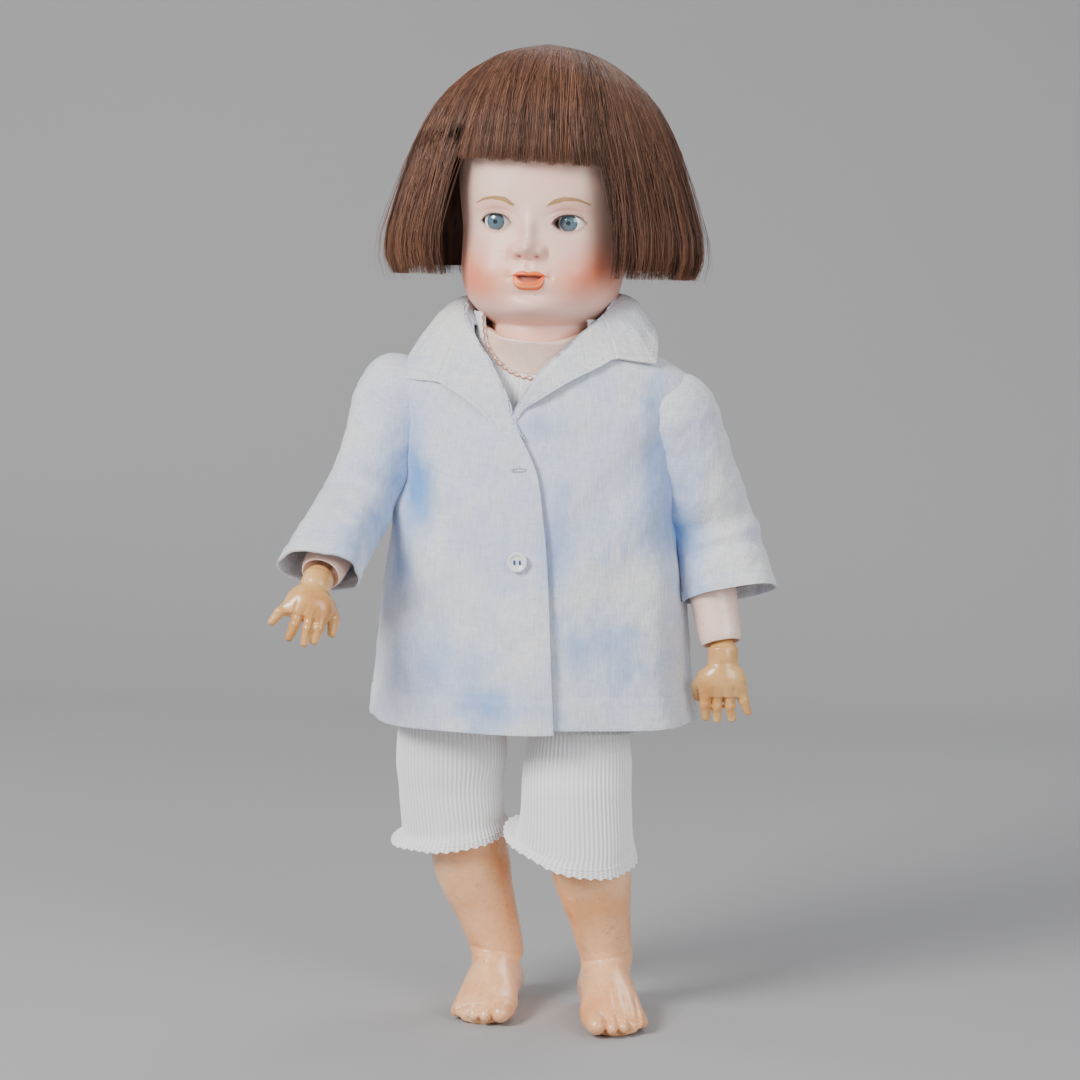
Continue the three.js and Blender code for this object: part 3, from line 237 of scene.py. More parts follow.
def shell(name, outer, inner, closed=False, gone=None):
    """Cloth of real thickness: an outer and an inner face joined round every edge.

    gone marks the cells that are cut away, as an array of rows by cells.
    """
    m, n = outer.shape[:2]
    count = m * n
    cells = n if closed else n - 1
    keep = np.ones((m - 1, cells), bool) if gone is None else ~gone
    i, j = np.argwhere(keep).T
    k = (j + 1) % n
    quads = np.stack([i * n + j, i * n + k, (i + 1) * n + k, (i + 1) * n + j], -1)
    parts = [quads, quads[:, ::-1] + count]
    framed = np.zeros((m + 1, cells + 2), bool)
    framed[1:-1, 1:-1] = keep
    if closed:
        framed[1:-1, 0], framed[1:-1, -1] = keep[:, -1], keep[:, 0]
    for near, one, two in ((framed[i, j + 1], 0, 1), (framed[i + 2, j + 1], 2, 3),
                           (framed[i + 1, j], 3, 0), (framed[i + 1, j + 2], 1, 2)):
        a, b = quads[~near, one], quads[~near, two]
        parts.append(np.stack([b, a, a + count, b + count], -1))
    faces = np.concatenate(parts)
    used, faces = np.unique(faces, return_inverse=True)
    points = np.concatenate([outer.reshape(-1, 3), inner.reshape(-1, 3)])[used]
    obj = new_mesh(name, points, faces.reshape(-1, 4))
    tidy_normals(obj)
    obj.data.set_sharp_from_angle(angle=math.radians(EDGE_ANGLE))
    return obj, used


def tidy_normals(obj):
    """Turns every closed part's faces outwards."""
    b = bmesh.new()
    b.from_mesh(obj.data)
    bmesh.ops.recalc_face_normals(b, faces=b.faces)
    b.to_mesh(obj.data)
    b.free()
    obj.data.update()


def grid_mesh(name, grid, closed=True):
    obj = new_mesh(name, grid.reshape(-1, 3), grid_faces(*grid.shape[:2], closed))
    tidy_normals(obj)
    return obj


def set_values(obj, name, values):
    layer = obj.data.attributes.new(name, "FLOAT", "POINT")
    layer.data.foreach_set("value", np.asarray(values, np.float32).ravel())


def points_of(obj):
    p = np.zeros(len(obj.data.vertices) * 3, np.float32)
    obj.data.vertices.foreach_get("co", p)
    return p.reshape(-1, 3).astype(float) * METRE


def surface_nets(field, low, high, step):
    """A smooth closed mesh of the surface where field(points) is zero; it is below zero inside."""
    low, high = np.asarray(low, float), np.asarray(high, float)
    n = np.ceil((high - low) / step).astype(int) + 1
    axes = [low[k] + step * np.arange(n[k]) for k in range(3)]
    grid = np.stack(np.meshgrid(*axes, indexing="ij"), -1)
    values = field(grid)
    inside = values < 0
    cells = tuple(n - 1)

    def corner(a, d):
        return a[d[0]:n[0] - 1 + d[0], d[1]:n[1] - 1 + d[1], d[2]:n[2] - 1 + d[2]]

    corners = [(i, j, k) for i in (0, 1) for j in (0, 1) for k in (0, 1)]
    count = sum(corner(inside, d).astype(int) for d in corners)
    mixed = (count > 0) & (count < 8)
    index = np.full(cells, -1)
    index[mixed] = np.arange(mixed.sum())
    base = np.argwhere(mixed)
    total = np.zeros((len(base), 3))
    hits = np.zeros(len(base))
    for a in corners:
        for axis in range(3):
            if a[axis]:
                continue
            b = list(a)
            b[axis] = 1
            va = corner(values, a)[mixed]
            vb = corner(values, tuple(b))[mixed]
            cross = (va < 0) != (vb < 0)
            t = np.where(cross, va / np.where(cross, va - vb, 1), 0)
            p = np.array(a, float) + t[:, None] * (np.array(b, float) - np.array(a, float))
            total += np.where(cross[:, None], p, 0)
            hits += cross
    points = low + step * (base + total / hits[:, None])
    faces = []
    for axis in range(3):
        u, v = (axis + 1) % 3, (axis + 2) % 3
        front = [slice(None)] * 3
        back = [slice(None)] * 3
        front[axis], back[axis] = slice(0, -1), slice(1, None)
        a, b = inside[tuple(front)], inside[tuple(back)]
        for want, flip in ((a & ~b, False), (~a & b, True)):
            at = np.argwhere(want)
            keep = (at[:, u] > 0) & (at[:, v] > 0) & (at[:, u] < n[u] - 1) & (at[:, v] < n[v] - 1)
            at = at[keep]
            quad = []
            for du, dv in ((0, 0), (-1, 0), (-1, -1), (0, -1)):
                q = at.copy()
                q[:, u] += du
                q[:, v] += dv
                quad.append(index[q[:, 0], q[:, 1], q[:, 2]])
            quad = np.stack(quad, -1)
            faces.append(quad[:, ::-1] if flip else quad)
    return points, np.concatenate(faces)


def relax(points, faces, rounds, amount=0.5):
    """Evens a mesh out by moving each point towards the middle of its neighbours."""
    a = faces.ravel()
    b = np.roll(faces, -1, 1).ravel()
    for _ in range(rounds):
        total = np.zeros_like(points)
        count = np.zeros(len(points))
        np.add.at(total, a, points[b])
        np.add.at(total, b, points[a])
        np.add.at(count, a, 1)
        np.add.at(count, b, 1)
        points = points + amount * (total / count[:, None] - points)
    return points


def formed(name, field, low, high, step, rounds=2):
    points, faces = surface_nets(field, low, high, step)
    points = relax(points, faces, rounds, 0.4)
    obj = new_mesh(name, points, faces)
    tidy_normals(obj)
    return obj


# Distance fields for bodies that melt into each other

def blend_min(a, b, k):
    h = np.clip(0.5 + 0.5 * (b - a) / k, 0, 1)
    return b + (a - b) * h - k * h * (1 - h)


def capsule(p, a, b, ra, rb):
    a, b = np.asarray(a, float), np.asarray(b, float)
    ab = b - a
    t = np.clip(((p - a) @ ab) / (ab @ ab), 0, 1)
    return np.linalg.norm(p - a - t[..., None] * ab, axis=-1) - (ra + (rb - ra) * t)


def ellipsoid(p, centre, radii, axes=np.eye(3)):
    q = (p - centre) @ np.asarray(axes).T / np.asarray(radii)
    length = np.linalg.norm(q, axis=-1)
    return (length - 1) * min(radii)


def tube(p, a, u, v, w, table):
    """A limb along w from a.

    Each row of its table: distance along, half width, front depth, back depth, shift along u and along v.
    """
    q = p - a
    t = q @ w
    wide, front, back, du, dv = station(table, t)
    x = q @ u - du
    y = q @ v - dv
    deep = np.where(y > 0, front, back)
    r = np.sqrt((x / wide) ** 2 + (y / deep) ** 2)
    side = (r - 1) * np.minimum(wide, deep)
    ends = np.maximum(table[0][0] - t, t - table[-1][0])
    return np.maximum(side, ends)


def frame_of(a, b, front=(0, -1, 0)):
    w = unit(b - a)
    v = unit(np.asarray(front, float) - w * (w @ np.asarray(front, float)))
    u = unit(np.cross(v, w))
    return u, v, w


# Materials

def linear(rgb):
    return tuple(((c / 255 + 0.055) / 1.055) ** 2.4 if c > 10.3 else c / 255 / 12.92 for c in rgb) + (1.0,)


class Paint:
    """A material and short calls that add nodes to it."""

    def __init__(self, name, roughness=0.5, specular=0.5, metallic=0.0, coat=0.0, coat_roughness=0.1,
                 sheen=0.0, scatter=0.0):
        self.material = bpy.data.materials.new(name)
        self.material.use_nodes = True
        self.nodes = self.material.node_tree.nodes
        self.links = self.material.node_tree.links
        self.shader = self.nodes["Principled BSDF"]
        self.put("Roughness", roughness)
        self.put("Specular IOR Level", specular)
        self.put("Metallic", metallic)
        self.put("Coat Weight", coat)
        self.put("Coat Roughness", coat_roughness)
        self.put("Sheen Weight", sheen)
        if scatter:
            self.put("Subsurface Weight", scatter)
            self.put("Subsurface Radius", (0.9, 0.35, 0.2))
            self.put("Subsurface Scale", 0.004)
        self.place = self.nodes.new("ShaderNodeTexCoord").outputs["Object"]

    def put(self, socket, value):
        if hasattr(value, "is_output"):
            self.links.new(value, self.shader.inputs[socket])
        else:
            self.shader.inputs[socket].default_value = value
        return self

    def scaled(self, x=1.0, y=1.0, z=1.0):
        node = self.nodes.new("ShaderNodeMapping")
        node.inputs["Scale"].default_value = (x, y, z)
        self.links.new(self.place, node.inputs["Vector"])
        return node.outputs["Vector"]

    def noise(self, size_mm, detail=3.0, rough=0.5, stretch=(1, 1, 1)):
        node = self.nodes.new("ShaderNodeTexNoise")
        node.inputs["Scale"].default_value = 1000.0 / size_mm
        node.inputs["Detail"].default_value = detail
        node.inputs["Roughness"].default_value = rough
        self.links.new(self.scaled(*stretch), node.inputs["Vector"])
        return node.outputs["Fac"]

    def wave(self, size_mm, axis="X", distort=0.0):
        node = self.nodes.new("ShaderNodeTexWave")
        node.bands_direction = axis
        node.inputs["Scale"].default_value = 1000.0 / size_mm / 20.0 * 6.2832 / 2
        node.inputs["Distortion"].default_value = distort
        self.links.new(self.place, node.inputs["Vector"])
        return node.outputs["Fac"]

    def spots(self, size_mm):
        node = self.nodes.new("ShaderNodeTexVoronoi")
        node.inputs["Scale"].default_value = 1000.0 / size_mm
        self.links.new(self.place, node.inputs["Vector"])
        return node.outputs["Distance"]

    def value_of(self, attribute):
        node = self.nodes.new("ShaderNodeAttribute")
        node.attribute_name = attribute
        return node.outputs["Fac"]

    def ramp(self, value, low, high, a=0.0, b=1.0):
        node = self.nodes.new("ShaderNodeMapRange")
        node.inputs["From Min"].default_value = low
        node.inputs["From Max"].default_value = high
        node.inputs["To Min"].default_value = a
        node.inputs["To Max"].default_value = b
        self.links.new(value, node.inputs["Value"])
        return node.outputs["Result"]

    def math(self, kind, a, b):
        node = self.nodes.new("ShaderNodeMath")
        node.operation = kind
        for k, x in enumerate((a, b)):
            if hasattr(x, "is_output"):
                self.links.new(x, node.inputs[k])
            else:
                node.inputs[k].default_value = x
        return node.outputs["Value"]

    def mix(self, amount, a, b):
        node = self.nodes.new("ShaderNodeMix")
        node.data_type = "RGBA"
        for key, x in (("Factor", amount), ("A", a), ("B", b)):
            socket = [s for s in node.inputs if s.name == key and (key == "Factor" or s.type == "RGBA")][0]
            if hasattr(x, "is_output"):
                self.links.new(x, socket)
            elif key == "Factor":
                socket.default_value = x
            else:
                socket.default_value = linear(x)
        return [s for s in node.outputs if s.type == "RGBA"][0]

    def bump(self, height, strength=0.3, distance_mm=0.3):
        node = self.nodes.new("ShaderNodeBump")
        node.inputs["Strength"].default_value = strength
        node.inputs["Distance"].default_value = distance_mm * MM
        self.links.new(height, node.inputs["Height"])
        self.links.new(node.outputs["Normal"], self.shader.inputs["Normal"])
        return self


def repaint(obj, paint):
    obj.data.materials.clear()
    obj.data.materials.append(paint.material)


def fit(obj, paint, body=None, node=None):
    """Paints a new piece, and puts it on a body and in place of a node where they are given."""
    repaint(obj, paint)
    if body:
        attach(obj, body)
    if node:
        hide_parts(node)


def skin_paint(name, light, deep, rough, dirt=0.35, coat=0.25):
    """Oil paint over composition: mottled, with specks, fine crazing and a worn varnish."""
    p = Paint(name, roughness=rough, coat=coat, coat_roughness=0.22, scatter=0.08)
    colour = p.mix(p.ramp(p.noise(26, 3), 0.35, 0.68), light, deep)
    colour = p.mix(p.math("MULTIPLY", p.ramp(p.noise(5, 5, 0.65), 0.52, 0.75), 0.35), colour,
                   tuple(int(c * 0.86) for c in deep))
    specks = p.math("MULTIPLY", p.ramp(p.spots(4.6), 0.13, 0.05), p.ramp(p.noise(15, 2), 0.5, 0.62))
    fine = p.math("MULTIPLY", p.ramp(p.spots(1.9), 0.22, 0.1), p.ramp(p.noise(11, 3), 0.46, 0.6, 0, 0.75))
    colour = p.mix(p.math("MULTIPLY", p.math("MAXIMUM", specks, fine), dirt), colour, (120, 78, 52))
    stain = p.math("MULTIPLY", p.ramp(p.noise(7, 5, 0.7), 0.58, 0.74), 0.45 * dirt)
    colour = p.mix(stain, colour, tuple(int(c * 0.66) for c in deep))
    p.put("Base Color", colour)
    p.put("Roughness", p.ramp(p.noise(9, 4), 0.3, 0.75, rough - 0.07, rough + 0.12))
    p.bump(p.noise(2.2, 4, 0.6), 0.16, 0.25)
    return p


SKIN = skin_paint("leg_paint", (252, 198, 150), (242, 170, 112), 0.3, 0.9, 0.6)
BODY_SKIN = skin_paint("body_paint", (247, 219, 204), (240, 200, 180), 0.4, 0.4)
FOREARM_SKIN = skin_paint("forearm_paint", (246, 218, 202), (240, 202, 182), 0.34, 0.7, 0.4)
HAND_SKIN = skin_paint("hand_paint", (230, 182, 116), (198, 136, 70), 0.26, 1.0, 0.55)
BALL_SKIN = skin_paint("ball_paint", (228, 184, 146), (206, 156, 116), 0.48, 0.6, 0.1)


def bare_wood():
    p = Paint("bare_wood", roughness=0.7)
    grain = p.noise(9, 6, 0.6, (1, 1, 0.12))
    p.put("Base Color", p.mix(p.ramp(grain, 0.3, 0.7), (176, 132, 84), (214, 176, 124)))
    p.bump(grain, 0.2, 0.2)
    return p


def wire_metal():
    p = Paint("iron_wire", roughness=0.42, metallic=1.0)
    rust = p.ramp(p.noise(5, 5, 0.65), 0.5, 0.66)
    p.put("Base Color", p.mix(rust, (126, 122, 118), (112, 74, 50)))
    p.put("Roughness", p.ramp(rust, 0, 1, 0.36, 0.8))
    p.bump(p.noise(1.2, 4), 0.2, 0.1)
    return p


def lead_metal():
    p = Paint("lead", roughness=0.6, metallic=0.9)
    p.put("Base Color", p.mix(p.noise(6, 4), (92, 92, 96), (134, 134, 136)))
    p.bump(p.noise(2.5, 4), 0.35, 0.3)
    return p


def elastic_cover():
    p = Paint("elastic_cover", roughness=0.9, sheen=0.2)
    braid = p.wave(1.1, "DIAGONAL", 0.6)
    p.put("Base Color", p.mix(braid, (196, 186, 164), (238, 230, 212)))
    p.bump(braid, 0.5, 0.3)
    return p


def card():
    p = Paint("pressed_card", roughness=0.92)
    p.put("Base Color", p.mix(p.noise(7, 6, 0.7), (168, 146, 108), (196, 176, 138)))
    p.bump(p.noise(1.6, 4), 0.3, 0.2)
    return p


WOOD = bare_wood()
WIRE = wire_metal()
LEAD = lead_metal()
ELASTIC = elastic_cover()
CARD = card()


# Camera, floor and light

SENSOR = 36  # mm
SWEEP_ROWS = 60
SWEEP_FLAT = 0.45  # the share of the paper that lies flat
SWEEP_CURVE = 0.35  # the share that curves up
SWEEP_R = 700
SWEEP_FRONT, SWEEP_BACK = -1900, 1100
STUDIO_MIDDLE = (0.0, 0.0, 0.3)  # metres, as the lamps' places are


def set_camera():
    turned = math.radians(CAMERA_TURN)
    look, down = math.radians(LOOK_TURN), math.radians(LOOK_DOWN)
    away = np.array([math.sin(turned), -math.cos(turned), 0])
    side = np.array([math.cos(look), math.sin(look), 0])
    eye = SHIFT + away * CAMERA_AWAY + side * CAMERA_SIDE + np.array([0, 0, CAMERA_HEIGHT])
    aim = np.array([-math.sin(look) * math.cos(down), math.cos(look) * math.cos(down), -math.sin(down)])
    data = bpy.data.cameras.new("photo_camera")
    data.sensor_width = SENSOR
    data.lens = SENSOR * FOCAL_PIXELS / PHOTO_SIZE
    camera = bpy.data.objects.new("photo_camera", data)
    camera.location = Vector(eye * MM)
    camera.rotation_euler = Vector(aim).to_track_quat("-Z", "Y").to_euler()
    bpy.context.scene.collection.objects.link(camera)
    bpy.context.scene.camera = camera


def lay_paper():
    """A sweep of paper: flat under the doll, then curving up behind it."""
    run = np.linspace(0, 1, SWEEP_ROWS)
    bend = np.clip((run - SWEEP_FLAT) / SWEEP_CURVE, 0, 1) * math.pi / 2
    flat = SWEEP_FRONT + (SWEEP_BACK - SWEEP_FRONT) * run / SWEEP_FLAT
    along = np.where(run < SWEEP_FLAT, flat, SWEEP_BACK + SWEEP_R * np.sin(bend))
    wall = 2200 * np.clip((run - 0.8) / 0.2, 0, 1)
    height = np.where(run < SWEEP_FLAT, 0, SWEEP_R * (1 - np.cos(bend))) + wall
    across = np.linspace(-2600, 2600, 5)
    grid = np.stack(np.broadcast_arrays(across[None], along[:, None], height[:, None]), -1)
    floor = new_mesh("paper_sweep", grid.reshape(-1, 3), grid_faces(*grid.shape[:2]))
    ground = Paint("pale_floor", roughness=0.85, specular=0.2)
    ground.put("Base Color", ground.mix(ground.noise(900, 2), (160, 160, 162), (168, 168, 169)))
    repaint(floor, ground)


def light_sky():
    scene = bpy.context.scene
    scene.world = scene.world or bpy.data.worlds.new("studio")
    scene.world.use_nodes = True
    sky = scene.world.node_tree.nodes["Background"]
    sky.inputs["Color"].default_value = (0.9, 0.91, 0.93, 1)
    sky.inputs["Strength"].default_value = 0.5


def area(name, place, size_m, watts, colour=(1, 1, 1), target=STUDIO_MIDDLE):
    light = bpy.data.lights.new(name, "AREA")
    light.shape = "DISK"
    light.size = size_m
    light.energy = watts
    light.color = colour
    lamp = bpy.data.objects.new(name, light)
    lamp.location = place
    lamp.rotation_euler = (Vector(target) - Vector(place)).to_track_quat("-Z", "Y").to_euler()
    bpy.context.scene.collection.objects.link(lamp)


set_camera()
lay_paper()
light_sky()
area("key", (-0.85, -1.2, 1.15), 0.7, 37, (1, 0.985, 0.965))
area("fill", (1.25, -1.15, 0.8), 1.0, 15, (0.98, 0.98, 1))
area("back", (0.5, 1.0, 1.5), 0.9, 8)
area("wash", (-1.5, 0.3, 0.9), 0.8, 9, (1, 1, 1), (-0.9, 1.8, 0.7))


# Head: rows of height above the neck centre, half width, front depth, back depth
HEAD = [
    [-31.2, 7, 7, 7], [-27.4, 16.4, 16.4, 16.4], [-22, 23.2, 23.2, 23.2],
    [-15.5, 28, 28, 28], [-7, 27.4, 27.6, 27.2], [-3.4, 31, 36.5, 27.4],
    [1, 36, 42, 29], [6, 40, 44.4, 32.2], [11, 42.6, 45.6, 35.8],
    [16, 44.1, 46.2, 39], [21, 45, 46.1, 42], [26, 45.4, 45.8, 44.6],
    [32, 45.2, 45.2, 47.4], [38, 45, 45, 49.4], [44, 44.8, 45.1, 51],
    [51, 45.2, 45.9, 52.3], [59, 46.2, 47.3, 53.2],
    [72, 47.5, 48.8, 54], [84, 47.6, 48.8, 53.4], [96, 45.4, 46.2, 50.6],
    [107, 41, 42, 45.6], [115, 35.6, 36.6, 39.6],
]
HOLLOW = [
    [-26.8, 5, 5, 5], [-23, 14.6, 14.6, 14.6], [-17, 21, 21, 21], [-4, 22.4, 22.4, 22.4],
    [12, 34.6, 32.6, 28.8], [36, 36, 33.2, 42], [60, 38, 35, 46], [84, 40, 40, 46], [115, 30.6, 31.6, 34.6],
]
# Spans of height and how many rows of points each has: most of them where the features are
HEAD_SPANS = [(-31.2, 4, 34), (4, 12, 16), (12, 25, 62), (25, 44, 66), (44, 58, 62), (58, 115, 60)]
HEAD_COLUMNS = 420
NECK_HOLE_R = 8.2
NECK_HOLE_Z = (-27.0, -30.8)
EYE_SINK = 7.5  # how far the face is cut in behind the lids
MOUTH_SINK = 3.4
MOUTH_Z = 20.6  # the corners of the mouth
LIP_WIDE = 9.5
LOWER_LIP_WIDE = 8.9
GAP_WIDE = 7.6
EYE_WIDE = 8.7
EYE_TALL = 4.5
EYE_OPEN_Z = 49.7  # the middle of the eye openings
NOSE_X = -0.9


def eye_edges(ax):
    """Upper and lower lid heights above the eye's middle, at ax from the middle of the face."""
    t = np.clip((ax - EYE_X) / EYE_WIDE, -1, 1)
    upper = EYE_TALL * (1 - np.abs(t) ** 2.3) ** 0.72 + 0.5 * t
    lower = -EYE_TALL * (1 - np.abs(t) ** 2.1) ** 0.85 + 0.5 * t
    return upper, lower


def eye_depth(x, z):
    """Above zero inside an eye opening, in mm from its edge."""
    ax = np.abs(x)
    upper, lower = eye_edges(ax)
    h = z - EYE_OPEN_Z
    return np.minimum(np.minimum(upper - h, h - lower), EYE_WIDE - np.abs(ax - EYE_X))


def lip_lines(x):
    """Heights of the top of the upper lip, top and bottom of the opening, and bottom of the lower lip."""
    t = np.clip(np.abs(x) / LIP_WIDE, 0, 1)
    top = MOUTH_Z + 2.85 * (1 - t**3) - 0.85 * bump(x, 2.0)
    bottom = MOUTH_Z - 8.0 * (1 - np.clip(np.abs(x) / LOWER_LIP_WIDE, 0, 1) ** 4) ** 0.5
    g = np.clip(np.abs(x) / GAP_WIDE, 0, 1)
    gap_top = MOUTH_Z + 0.45 * (1 - g**2) - 0.2 * bump(x, 1.8)
    gap_bottom = MOUTH_Z - 3.1 * (1 - g**2.6)
    return top, gap_top, gap_bottom, bottom


def relief(x, z):
    """How far the modelled features stand out from the plain oval."""
    ax = np.abs(x)
    nx = x - NOSE_X
    nax = np.abs(nx)
    d = 9.4 * bump(nx, 5.2) * bump(z - 35.4, 4.6)
    d += 4.6 * bump(nx, 4.0) * bump(z - 45, 9.5)
    d += 3.4 * bump(nax - 7.2, 3.0) * bump(z - 33.6, 3.3)
    d -= 1.3 * bump(nax - 10.6, 1.4) * bump(z - 33.2, 3.2)
    d -= 1.7 * bump(nx, 9) * bump(z - 29.2, 1.5)
    d -= 1.9 * bump(nax - 4.7, 1.5) * bump(z - 31.2, 0.95)
    d -= 0.8 * bump(x, 1.5) * bump(z - 26.4, 2.4)
    d += 0.5 * bump(ax - 3.0, 1.3) * bump(z - 26.4, 2.4)
    d -= 4.0 * bump(ax - EYE_X, 11) * bump(z - EYE_OPEN_Z, 8)
    d += 1.7 * bump(ax - EYE_X, 9.5) * bump(z - EYE_OPEN_Z + 0.5, 6.0)
    crease = EYE_OPEN_Z + 7.0 - 3.0 * ((ax - EYE_X) / 10.5) ** 2
    d -= 0.6 * bump(z - crease, 1.1) * bump(ax - EYE_X, 9)
    d += 0.8 * bump(ax - EYE_X, 12) * bump(z - 62, 5)
    d += 3.0 * bump(ax - 27, 13) * bump(z - 22, 12)
    d += 3.0 * bump(x, 10.5) * bump(z - MOUTH_Z + 2.0, 6.5)
    d -= 1.2 * bump(ax - 11.6, 2.0) * bump(z - MOUTH_Z, 2.6)
    d -= 0.5 * bump(ax - 11.0, 1.8) * bump(z - MOUTH_Z + 0.1 * ax - 0.6, 0.7)
    d -= 2.0 * bump(x, 8) * bump(z - 10.0, 2.2)
    d += 3.4 * bump(x, 12) * bump(z - 3.0, 6.0)
    d -= 1.6 * bump(x, 30) * bump(z + 4.5, 3)
    top, gap_top, gap_bottom, bottom = lip_lines(x)
    upper = smooth(0, 0.8, top - z) * smooth(0, 0.5, z - gap_top)
    lower = smooth(0, 1.4, z - bottom) * smooth(0, 0.5, gap_bottom - z)
    fade = smooth(LIP_WIDE + 0.3, LIP_WIDE - 1.6, ax)
    d += fade * (0.9 * upper + 1.4 * lower * bump(z - MOUTH_Z + 5.4, 3.4))
    return d


def head_surface(z, angle, grow=0.0, table=HEAD, features=True):
    a, front, back = station(table, z)
    s, c = np.sin(angle), np.cos(angle)
    square = smooth(-6, 10, z) * (1 - smooth(90, 115, z))
    power = 1 - 0.14 * square
    x = (a + grow) * np.sign(s) * np.abs(s) ** power
    y = -(np.where(c > 0, front, back) + grow) * np.sign(c) * np.abs(c) ** power
    if features:
        y = y - np.where((c > 0) & (z > -10), relief(x, z) * smooth(0.1, 0.5, c), 0)
    return np.stack([x, y, z + 0 * x], -1)


def face_y(x, z, grow=0.0):
    """The face's depth at a place given across and up."""
    x, z = np.broadcast_arrays(np.asarray(x, float), np.asarray(z, float))
    a, _, _ = station(HEAD, z)
    angle = np.arcsin(np.clip(np.abs(x) / (a + grow), 0, 0.999) ** (1 / 0.86)) * np.sign(x)
    return head_surface(z, angle, grow)[..., 1]


EYE_Y = float(face_y(EYE_X, EYE_Z)) + 3.3 + EYE_R - 1.7


def gap_depth(x, h, gap_top, gap_bottom):
    """Above zero between the lips, in mm from their edges."""
    return np.where(np.abs(x) < GAP_WIDE, np.minimum(gap_top - h, h - gap_bottom), -9)


def face_rings():
    """The outside of the head, cut in at the eyes and between the lips."""
    z = np.unique(np.concatenate([np.linspace(*span) for span in HEAD_SPANS]))
    t = circle(HEAD_COLUMNS)
    zz, aa = np.meshgrid(z, t - 0.58 * np.sin(t), indexing="ij")
    p = head_surface(zz, aa)
    x, h = p[..., 0], p[..., 2]
    front = np.cos(aa) > 0.2
    eye = np.where(front, eye_depth(x, h), -9)
    _, gap_top, gap_bottom, _ = lip_lines(x)
    gap = np.where(front, gap_depth(x, h, gap_top, gap_bottom), -9)
    rolled = 0.35 * smooth(-1.3, -0.2, eye) * (eye < 0.2)
    p[..., 1] += EYE_SINK * smooth(0.0, 0.45, eye) + MOUTH_SINK * smooth(0.0, 0.5, gap) - rolled
    return p


def hollow_rings():
    """The hollow inside, from the crown down to the neck hole, so that both openings are real."""
    z = np.linspace(HOLLOW[0][0], HOLLOW[-1][0], 40)
    a, f, b = station(HOLLOW, z)
    ring = circle(HEAD_COLUMNS)
    s, c = np.sin(ring), np.cos(ring)
    inner = np.stack([a[:, None] * s, -np.where(c > 0, f[:, None], b[:, None]) * c, z[:, None] + 0 * s], -1)
    hole = [np.stack([NECK_HOLE_R * s, -NECK_HOLE_R * c, np.full_like(s, z)], -1)[None] for z in NECK_HOLE_Z]
    return np.concatenate([inner[::-1][:-1], *hole])


def blush_of(x, h):
    """Where the cheeks, chin, neck and upper lids are painted rosy."""
    ax = np.abs(x)
    up = np.where(x > 0, 20.5, 17.5)
    d = 0.85 * bump(ax - 31, 16.5) * bump(h - up, 13) + 0.36 * bump(ax - 41, 13) * bump(h - up - 13, 16)
    d += 0.24 * bump(ax - 20, 13) * bump(h - 12, 10) + 0.12 * bump(ax - 16, 14) * bump(h - 42, 16)
    d += 0.26 * bump(x, 12) * bump(h + 3, 5) + 0.3 * bump(ax - EYE_X, 11) * bump(h - 57.5, 3)
    d += 0.55 * bump(x, 40) * smooth(-6, -12, h) * 0.6
    return np.clip(d, 0, 1)


def lip_values(x, h):
    """How much of the lips' paint a place has, and where painted shade darkens the lips' edges and the
    opening's rim (above zero) or a painted highlight lies on the lower lip (below zero).
    """
    ax = np.abs(x)
    top, gap_top, gap_bottom, bottom = lip_lines(x)
    near = ax < LIP_WIDE
    low_side = np.where(h < gap_bottom, LOWER_LIP_WIDE - ax, 1)
    body = smooth(-0.15, 0.25, np.minimum(np.minimum(top - h, h - bottom), low_side)) * near
    outside = smooth(0.25, -0.15, np.minimum(gap_top - h, h - gap_bottom))
    lips = body * np.where(ax < GAP_WIDE, outside, 1)
    # painted shade along the lips' edges and the rim of the opening
    edge = 0.7 * bump(h - top, 0.45) + 0.9 * bump(h - bottom - 0.2, 0.6) + 0.9 * bump(h - gap_top - 0.1, 0.5)
    edge += 0.8 * bump(h - gap_bottom + 0.1, 0.4)
    # a painted highlight on the lower lip
    edge -= 0.9 * bump(h - bottom - 2.2, 0.8) * (h < gap_bottom - 0.4)
    return lips, np.where(near, np.clip(edge, -1, 1) * body, 0)


def crease_shade_of(x, h):
    """Painted shade in the lines out from the corners of the mouth, and round the wings of the nose."""
    ax = np.abs(x)
    line = bump(h - MOUTH_Z + 0.35 * (ax - LIP_WIDE), 0.42) * (ax > LIP_WIDE - 0.6)
    line = line * smooth(LIP_WIDE + 3.9, LIP_WIDE + 1.5, ax)
    wing = bump(np.abs(x - NOSE_X) - 10.5, 0.7) * bump(h - 32.4, 2.0)
    return np.clip(line + 0.55 * wing, 0, 1)


def set_face_values(obj, x, h, skin):
    """The values that the bisque's paint reads, for each point of the face."""
    _, gap_top, gap_bottom, _ = lip_lines(x)
    pit = smooth(0.1, 0.7, gap_depth(x, h, gap_top, gap_bottom))
    lips, lip_shade_and_highlight = lip_values(x, h)
    eye = eye_depth(x, h)
    tongue = smooth(MOUTH_Z - 0.1, MOUTH_Z - 1.0, h) * smooth(GAP_WIDE - 0.4, GAP_WIDE - 2.4, np.abs(x))
    values = {
        "lips": lips,
        "lip_shade_and_highlight": lip_shade_and_highlight,
        "crease": crease_shade_of(x, h),
        "tongue": pit * tongue,
        # painted shade: the cut-in walls inside the eye openings and between the lips are painted near black
        "dark": np.maximum(pit, smooth(0.1, 0.6, eye)),
        "nostril": bump(np.abs(x - NOSE_X) - 4.8, 1.35) * bump(h - 31.2, 0.75),
        "lash_line": bump(eye + 0.15, 0.75) * (0.3 + 0.65 * smooth(EYE_OPEN_Z - 1.5, EYE_OPEN_Z + 1.5, h)),
    }
    set_values(obj, "cheek", np.where(skin, blush_of(x, h), 0.1))
    for name, value in values.items():
        set_values(obj, name, np.where(skin, value, 0))


